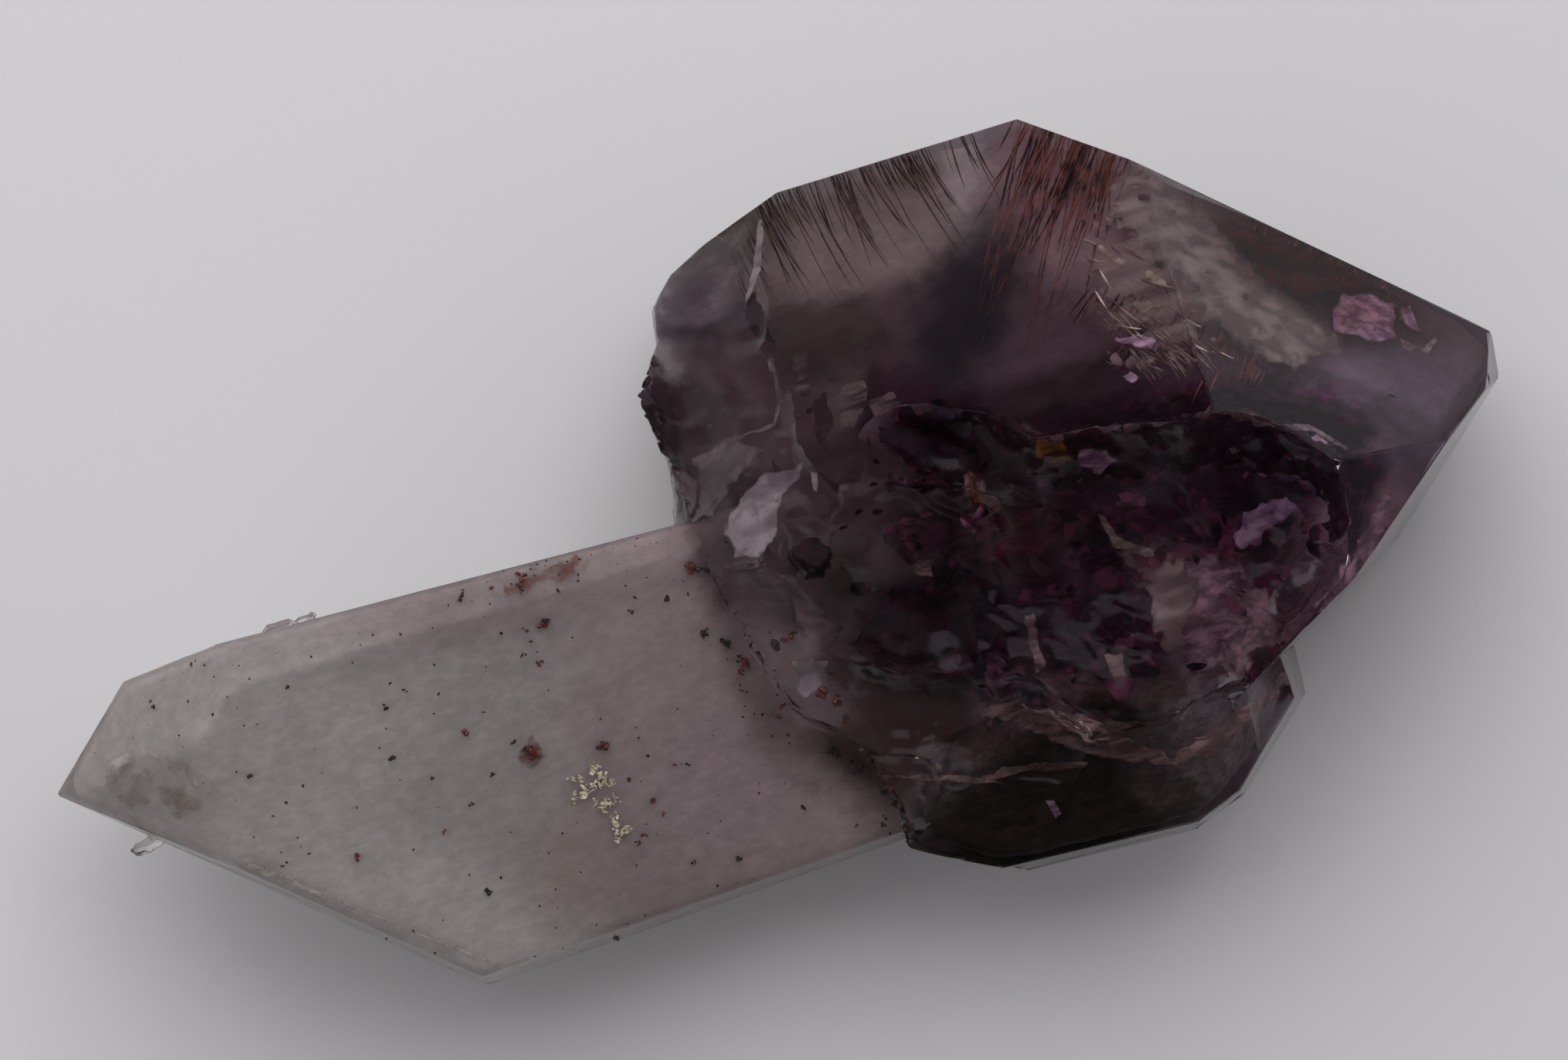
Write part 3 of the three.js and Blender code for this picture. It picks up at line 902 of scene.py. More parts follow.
@dataclass
class Veil:
    """A thin sheet below the skin, cut to an outline in millimetres: most are fractures and stains, some are
    painted shade, glints, flashes, highlights and reflections.

    Its strength rises from the rim inwards over a width, and its rim strays by ragged.
    """

    name: str
    outline: Outline
    depth: float = 0.4
    rim: float = 0.35
    ragged: float = 0.25
    cell: float = 0.13
    thickness: float = 0.03
    stray_scale: float = 2.4
    smoothing: int = 4

    def build(self, skin: SkinDepth) -> bpy.types.Object:
        """Lays a grid below the skin and cuts it to the ragged outline."""
        low = np.min(self.outline, axis=0) - 2 * self.cell
        high = np.max(self.outline, axis=0) + 2 * self.cell
        counts = np.ceil((high - low) / self.cell).astype(int)
        bpy.ops.object.select_all(action="DESELECT")
        bpy.ops.mesh.primitive_grid_add(x_subdivisions=int(counts[0]), y_subdivisions=int(counts[1]),
                                        size=1)
        piece = bpy.context.active_object
        piece.name = piece.data.name = self.name
        places = np.array([v.co.xy for v in piece.data.vertices]) * (high - low) + (low + high) / 2
        stray = np.array([noise.fractal(Vector((x, y, self.depth)) * self.stray_scale, 1.0, 2.0, 3)
                          for x, y in places])
        reach = rim_distance(places, self.outline) + stray * self.ragged
        spots = [skin.below(x, y, self.depth) for x, y in places]
        strength = [min(1.0, r / self.rim) if spot else -1.0 for r, spot in zip(reach, spots)]
        for vertex, spot in zip(piece.data.vertices, spots):
            vertex.co = spot or Vector()
        point_values(piece, FADE, [max(0.0, value) for value in strength])
        open_edit(piece)
        select_faces(piece, [any(strength[i] < -0.2 for i in face.vertices)
                             for face in piece.data.polygons])
        bpy.ops.mesh.delete(type="FACE")
        bpy.ops.mesh.select_all(action="SELECT")
        bpy.ops.mesh.vertices_smooth(factor=0.5, repeat=self.smoothing)
        close_edit()
        apply_modifier(piece, "SOLIDIFY", thickness=self.thickness * MM, offset=-1.0)
        only(piece)
        bpy.ops.object.shade_smooth()
        return piece


@dataclass(frozen=True)
class VeilSet:
    """Veils that share one finish."""

    finish: VeilFinish
    veils: tuple[Veil, ...]

    def dress(self, skin: SkinDepth) -> None:
        """Builds the finish and every veil that has it."""
        material = self.finish.build()
        for veil in self.veils:
            carry(veil.build(skin), material)


Template = tuple[np.ndarray, list[list[int]]]


def as_template() -> Template:
    """The active object's mesh as plain arrays, with the object removed."""
    one = bpy.context.active_object
    corners = np.array([v.co for v in one.data.vertices])
    faces = [list(p.vertices) for p in one.data.polygons]
    bpy.data.objects.remove(one)
    return corners, faces


def lump_template() -> Template:
    """One angular lump of unit radius."""
    bpy.ops.object.select_all(action="DESELECT")
    bpy.ops.mesh.primitive_ico_sphere_add(subdivisions=1, radius=1.0)
    draw = random.Random(5)
    for vertex in bpy.context.active_object.data.vertices:
        vertex.co *= draw.uniform(0.75, 1.15)
    return as_template()


def flake_template() -> Template:
    """One thin flake of unit radius with seven uneven corners."""
    bpy.ops.object.select_all(action="DESELECT")
    bpy.ops.mesh.primitive_cylinder_add(vertices=7, radius=1.0, depth=0.06)
    corners, faces = as_template()
    draw = random.Random(8)
    reach = {}
    for number, corner in enumerate(corners):
        key = round(math.atan2(corner[1], corner[0]), 2)
        corners[number, :2] *= reach.setdefault(key, draw.uniform(0.55, 1.2))
    return corners, faces


def needle_template() -> Template:
    """One needle of unit length along +Z, with four sides, a thin root and a fine tip."""
    bpy.ops.object.select_all(action="DESELECT")
    bpy.ops.mesh.primitive_cone_add(vertices=4, radius1=1.0, radius2=1.0, depth=1.0,
                                    location=(0, 0, 0.5))
    one = bpy.context.active_object
    bpy.ops.object.transform_apply(location=True)
    open_edit(one)
    for height in (0.25, 0.5, 0.75):
        bpy.ops.mesh.select_all(action="SELECT")
        bpy.ops.mesh.bisect(plane_co=(0, 0, height), plane_no=(0, 0, 1))
    close_edit()
    for vertex in one.data.vertices:
        width = 0.15 + 0.85 * math.sin(math.pi * (0.12 + 0.86 * vertex.co.z))
        vertex.co.xy = vertex.co.xy * width
    return as_template()


class Copies:
    """Copies of one small shape, joined in one mesh."""

    def __init__(self, template: Template) -> None:
        """Starts with no copy."""
        self.corners, self.faces = template
        self.points: list[np.ndarray] = []

    def add(self, spot: Vector, axis: Vector, sizes: Triple,
            bend: Vector = Vector()) -> None:
        """Adds a copy.

        Args:
            spot: Its origin in metres.
            axis: Where its +Z points.
            sizes: Its proportions in millimetres.
            bend: How far its far end is carried aside, in millimetres.
        """
        turn = np.array(axis.to_track_quat("Z", "Y").to_matrix())
        shape = (self.corners * np.array(sizes)) @ turn.T
        shape += np.outer(self.corners[:, 2] ** 2, np.array(bend))
        self.points.append(shape * MM + np.array(spot))

    def build(self, name: str) -> bpy.types.Object:
        """Joins the copies in one piece."""
        stride = len(self.corners)
        joined = [[number * stride + i for i in face]
                  for number in range(len(self.points)) for face in self.faces]
        mesh = bpy.data.meshes.new(name)
        mesh.from_pydata(np.concatenate(self.points).tolist(), [], joined)
        mesh.update()
        return add_mesh(name, mesh)


def any_way(draw: random.Random, spread: float = 1.0) -> Vector:
    """A random vector, spread evenly about zero."""
    return Vector([draw.gauss(0, spread) for _ in range(3)])


@dataclass
class Grains:
    """Many small grains, copies of one lump."""

    name: str
    seed: int
    squash: float = 0.7
    draw: random.Random = field(init=False)
    copies: Copies = field(init=False)

    def __post_init__(self) -> None:
        """Starts with no grain."""
        self.draw = random.Random(self.seed)
        self.copies = Copies(lump_template())

    def add(self, spot: Vector | None, size: float) -> None:
        """Adds a grain at a place in metres with a radius in millimetres."""
        if spot is not None:
            wide, long, high = [self.draw.uniform(0.6, 1.3) * size for _ in range(3)]
            self.copies.add(spot, any_way(self.draw), (wide, long, high * self.squash))

    def build(self) -> bpy.types.Object:
        """Joins the grains in one piece."""
        return self.copies.build(self.name)


@dataclass
class Flakes:
    """Chips of small old fractures, scattered below the skin inside an outline."""

    name: str
    outline: Outline
    count: int
    seed: int
    depth: Pair
    size: Pair
    heading: Vector
    spread: float = 0.45

    def build(self, skin: SkinDepth) -> bpy.types.Object:
        """Scatters the flakes and joins them in one piece."""
        draw = random.Random(self.seed)
        copies = Copies(flake_template())
        low, high = np.min(self.outline, axis=0), np.max(self.outline, axis=0)
        while len(copies.points) < self.count:
            x, y = draw.uniform(low[0], high[0]), draw.uniform(low[1], high[1])
            spot = skin.below(x, y, draw.uniform(*self.depth))
            if spot is None or rim_distance(np.array([[x, y]]), self.outline)[0] < 0.0:
                continue
            size = self.size[0] + (self.size[1] - self.size[0]) * draw.random() ** 2
            axis = self.heading + any_way(draw, self.spread)
            copies.add(spot, axis, (size, size * draw.uniform(0.35, 0.9), size))
        return copies.build(self.name)


@dataclass
class Sheaf:
    """A sheaf of fine needles that grew inwards from one face.

    Roots are spread over a four-cornered patch, in millimetres, in bunches.
    """

    name: str
    patch: tuple[Triple, ...]
    direction: Triple
    length: Pair
    count: int
    seed: int
    width: Pair = (0.02, 0.055)
    fan: float = 0.05
    bunches: int = 40
    bend: Triple = (0.0, 0.0, 0.0)
    rooted: bool = True

    def build(self, skin: SkinDepth) -> bpy.types.Object:
        """Sets the needles along the patch and joins them in one piece."""
        draw = random.Random(self.seed)
        copies = Copies(needle_template())
        corners = [Vector(corner) for corner in self.patch]
        bunches = []
        for _ in range(self.bunches):
            u, v = draw.random(), draw.random()
            root = corners[0].lerp(corners[1], u).lerp(corners[3].lerp(corners[2], u), v)
            bunches.append((root, any_way(draw, self.fan), draw.uniform(*self.length),
                            draw.uniform(0.12, 0.5)))
        for _ in range(self.count):
            root, stray, reach, spread = draw.choice(bunches)
            at = root + any_way(draw, spread)
            heading = Vector(self.direction).normalized() + stray + any_way(draw, self.fan / 2)
            base = skin.wall(at, -heading) if self.rooted else placed(*at)
            if base is None:
                continue
            length = reach * draw.uniform(0.45, 1.0)
            thick = draw.uniform(*self.width)
            bend = Vector(self.bend) * draw.uniform(0.2, 1.2) * (length / self.length[1])
            copies.add(base, heading, (thick, thick, length), bend)
        return copies.build(self.name)


@dataclass(frozen=True)
class Lamp:
    """A square lamp that looks at the crystal, sizes in metres and power in watts."""

    name: str
    place: Triple
    size: float
    power: float

    def build(self) -> None:
        """Hangs the lamp."""
        data = bpy.data.lights.new(self.name, "AREA")
        data.size = self.size
        data.energy = self.power
        lamp = bpy.data.objects.new(self.name, data)
        bpy.context.scene.collection.objects.link(lamp)
        lamp.location = self.place
        lamp.rotation_mode = "QUATERNION"
        lamp.rotation_quaternion = Vector(self.place).to_track_quat("Z", "Y")
        lamp.visible_camera = False


@dataclass
class Studio:
    """Pale floor, soft light and the camera at the photograph's angle."""

    lens: float = 250.0
    sensor: float = 36.0
    floor_colour: Colour = (0.78, 0.765, 0.785)
    key: Lamp = Lamp("key", (0.04, 0.26, 0.32), 0.46, 1.5)
    fill: Pair = (0.10, 0.55)
    floor_size: float = 6.0
    floor_rough: float = 0.85
    floor_shine: float = 0.2

    def build(self) -> None:
        """Sets out the floor, the lights and the camera."""
        self.floor()
        self.sky()
        self.key.build()
        self.camera()

    def floor(self) -> None:
        """A plain pale floor."""
        bpy.ops.object.select_all(action="DESELECT")
        bpy.ops.mesh.primitive_plane_add(size=self.floor_size, location=(0, 0, 0))
        floor = bpy.context.active_object
        floor.name = "floor"
        material = bpy.data.materials.new("pale_floor")
        material.use_nodes = True
        shader = material.node_tree.nodes["Principled BSDF"]
        shader.inputs["Base Color"].default_value = rgba(self.floor_colour)
        shader.inputs["Roughness"].default_value = self.floor_rough
        shader.inputs["Specular IOR Level"].default_value = self.floor_shine
        floor.data.materials.append(material)

    def sky(self) -> None:
        """A dim sky that is brighter towards both ends of the crystal."""
        world = bpy.data.worlds.new("soft_sky")
        bpy.context.scene.world = world
        world.use_nodes = True
        weave = Weaver(world.node_tree)
        where = weave.add("TexCoord").outputs["Generated"]
        sideways = weave.add("SeparateXYZ", {0: where}).outputs["X"]
        near = weave.math("ABSOLUTE", sideways)
        bright = weave.ramp(near, 0.1, 0.95, *self.fill)
        back = weave.add("Background", {"Color": (1, 0.99, 1, 1), "Strength": bright})
        weave.add("OutputWorld", {"Surface": back.outputs[0]})

    def camera(self) -> None:
        """Looks straight down, turned so that the c axis runs up to the right."""
        data = bpy.data.cameras.new("camera")
        data.lens = self.lens
        data.sensor_width = self.sensor
        camera = bpy.data.objects.new("camera", data)
        bpy.context.scene.collection.objects.link(camera)
        wide = PHOTO_WIDTH * PHOTO_PIXEL * MM
        camera.location = placed(*PHOTO_CENTRE) + Vector((0, 0, wide * self.lens / self.sensor))
        camera.rotation_euler = (0, 0, math.radians(PHOTO_TURN))
        data.clip_start = 0.01
        bpy.context.scene.camera = camera
        bpy.context.scene.view_settings.view_transform = "Standard"


# Larger specks of the stem: place and radius
LARGE_SPECKS = (
    (-11.2, -3.9, 0.17), (-11.8, -3.4, 0.08), (-13.5, -2.5, 0.12), (-8.5, -4.6, 0.15),
    (-9.3, 0.7, 0.14), (-10.0, 0.7, 0.07), (-5.8, 0.2, 0.07), (-9.5, 2.7, 0.12), (-9.7, 2.4, 0.09),
    (-12.0, 2.7, 0.09), (-8.3, 1.8, 0.06), (-10.8, 2.7, 0.06), (-4.3, 0.3, 0.09), (-10.4, -0.2, 0.05),
    (-9.9, -0.7, 0.07), (-7.2, -7.2, 0.11), (-15.3, -3.8, 0.06), (-14.1, -5.3, 0.06),
    (-15.5, -6.0, 0.06), (-13.0, -4.4, 0.07), (-14.6, -8.8, 0.09), (-10.3, -12.2, 0.10),
    (-7.9, -6.2, 0.06), (-7.0, -7.9, 0.05), (-6.9, -5.5, 0.06), (-6.0, -6.1, 0.05), (-5.5, -6.3, 0.05),
    (-8.0, -8.5, 0.07), (-8.3, -8.7, 0.06), (-1.6, -9.3, 0.06), (0.2, -10.6, 0.06),
    (-6.4, -10.1, 0.05), (-4.7, -10.5, 0.08), (-16.2, -0.6, 0.07), (-16.6, -2.6, 0.09),
    (-22.1, -1.6, 0.08), (-19.6, 1.3, 0.06), (-23.0, 3.3, 0.07), (-25.0, 2.1, 0.07),
    (-19.1, -5.9, 0.09), (-22.0, -5.4, 0.06),
)

# Black specks along the head's root, from the top to the low side
ROOT_SPECKS = (
    (-3.0, 1.2, 0.19), (-2.5, 1.0, 0.12), (-3.4, -1.5, 0.12), (-2.7, -2.1, 0.13), (-2.1, -3.1, 0.15),
    (-2.4, -3.3, 0.08), (-1.2, -5.1, 0.11), (-1.5, -5.5, 0.08), (0.4, -5.0, 0.14), (0.9, -5.6, 0.15),
    (1.0, -6.3, 0.10), (0.0, -2.5, 0.12), (-0.4, -2.6, 0.09), (0.1, -7.4, 0.11), (0.3, -7.7, 0.09),
    (1.7, -9.6, 0.12), (1.9, -10.2, 0.13), (2.3, -11.2, 0.15), (1.2, -10.9, 0.07),
)

# Where the head's broken base meets the stem's front, from the top to the low side
ROOT_LINE = ((-3.3, 1.3), (-2.7, -1.1), (-2.3, -3.4), (-1.5, -5.7), (0.6, -7.3), (1.4, -8.6), (1.5, -11.4))

# Crust patches: place, spread and number of grains
CRUST_PATCHES = ((-9.4, -5.9, 0.40, 190), (-9.0, -7.2, 0.20, 50), (-8.8, -8.0, 0.20, 60))


@dataclass
class StemSpecks:
    """Iron-oxide specks in and on the stem, all sizes in millimetres.

    The front's, the upper edge's, the far sides' and the root's specks have a count, a range of
    depths below the skin and a range of radii.
    """

    seed: int = 41
    cluster: int = 5
    scatter: float = 0.7
    sunk: float = 0.02
    front_x: Pair = (-28, 0)
    front_y: Pair = (-12, 3.2)
    edge_x: Pair = (-9, 6)
    edge_y: float = 3.2
    edge_spread: float = 0.9
    round_x: Pair = (-27, -2)
    round_angle: Pair = (1.4, 4.9)
    root_spread: float = 0.4
    front: Batch = (150, (0.02, 0.3), (0.025, 0.075))
    edge: Batch = (50, (0.02, 0.25), (0.025, 0.06))
    round: Batch = (160, (0.02, 0.3), (0.03, 0.09))
    root: Batch = (6, (0.02, 0.2), (0.03, 0.09))

    def build(self, skin: SkinDepth) -> bpy.types.Object:
        """Sets all the specks below the skin and joins them in one piece."""
        specks = Grains("hematite_specks", self.seed)
        draw = specks.draw
        for x, y, size in LARGE_SPECKS + ROOT_SPECKS:
            spread = self.scatter * size
            for _ in range(self.cluster):
                specks.add(skin.below(x + draw.gauss(0, spread), y + draw.gauss(0, spread), self.sunk), size)
        count, depths, sizes = self.front
        for _ in range(count):
            x, y = draw.uniform(*self.front_x), draw.uniform(*self.front_y)
            specks.add(skin.below(x, y, draw.uniform(*depths)), draw.uniform(*sizes))
        count, depths, sizes = self.edge
        for _ in range(count):
            x, y = draw.gauss(*self.edge_x), self.edge_y - abs(draw.gauss(0, self.edge_spread))
            specks.add(skin.below(x, y, draw.uniform(*depths)), draw.uniform(*sizes))
        count, depths, sizes = self.round
        for _ in range(count):
            x, angle = draw.uniform(*self.round_x), draw.uniform(*self.round_angle)
            specks.add(skin.inward(x, angle, STEM_AXIS, draw.uniform(*depths)), draw.uniform(*sizes))
        self.along_root(specks, skin)
        return specks.build()

    def along_root(self, specks: Grains, skin: SkinDepth) -> None:
        """Adds the small specks along the line where the head meets the stem."""
        draw = specks.draw
        count, depths, sizes = self.root
        for (x0, y0), (x1, y1) in zip(ROOT_LINE, ROOT_LINE[1:]):
            for _ in range(count):
                t = draw.random()
                x = x0 + t * (x1 - x0) + draw.gauss(0, self.root_spread)
                y = y0 + t * (y1 - y0) + draw.gauss(0, self.root_spread)
                specks.add(skin.below(x, y, draw.uniform(*depths)), draw.uniform(*sizes))


@dataclass
class CreamCrust:
    """Cream crust on the stem's front face, in clusters, all sizes in millimetres."""

    seed: int = 57
    squash: float = 0.35
    longer: float = 1.4
    to_a_cluster: int = 10
    cluster: float = 0.1
    least: float = 0.02
    larger: float = 0.05

    def build(self, skin: SkinDepth) -> bpy.types.Object:
        """Sets the grains on the skin and joins them in one piece."""
        crust = Grains("cream_crust", self.seed, self.squash)
        draw = crust.draw
        for x, y, spread, count in CRUST_PATCHES:
            middles = [(x + draw.gauss(0, spread), y + draw.gauss(0, spread * self.longer))
                       for _ in range(count // self.to_a_cluster)]
            for _ in range(count):
                a, b = draw.choice(middles)
                spot = skin.below(a + draw.gauss(0, self.cluster), b + draw.gauss(0, self.cluster), 0.0)
                crust.add(spot, self.least + abs(draw.gauss(0, self.larger)))
        return crust.build()


# The broken front as seen from above, and the pale mass beside the fan
HOLLOW = ((3.0, 2.0), (6.2, 5.4), (10.0, 3.2), (15.0, 0.4), (18.6, 0.0), (21.6, -1.2), (21.2, -5.0),
          (17.0, -8.6), (12.0, -8.6), (6.0, -8.0), (3.4, -5.4), (2.6, -1.0))
BESIDE_THE_PEAK = ((-1.5, 8.5), (2.4, 8.6), (4.4, 8.0), (5.2, 5.0), (4.2, 2.6), (3.6, -2.0), (3.6, -8.0),
                   (1.6, -7.6), (0.2, -4.4), (-1.4, -1.4), (-1.8, 2.0))
BESIDE_THE_FAN = ((15.6, 9.4), (18.4, 10.6), (20.2, 7.0), (19.4, 3.4), (15.4, 2.6), (14.6, 5.6))

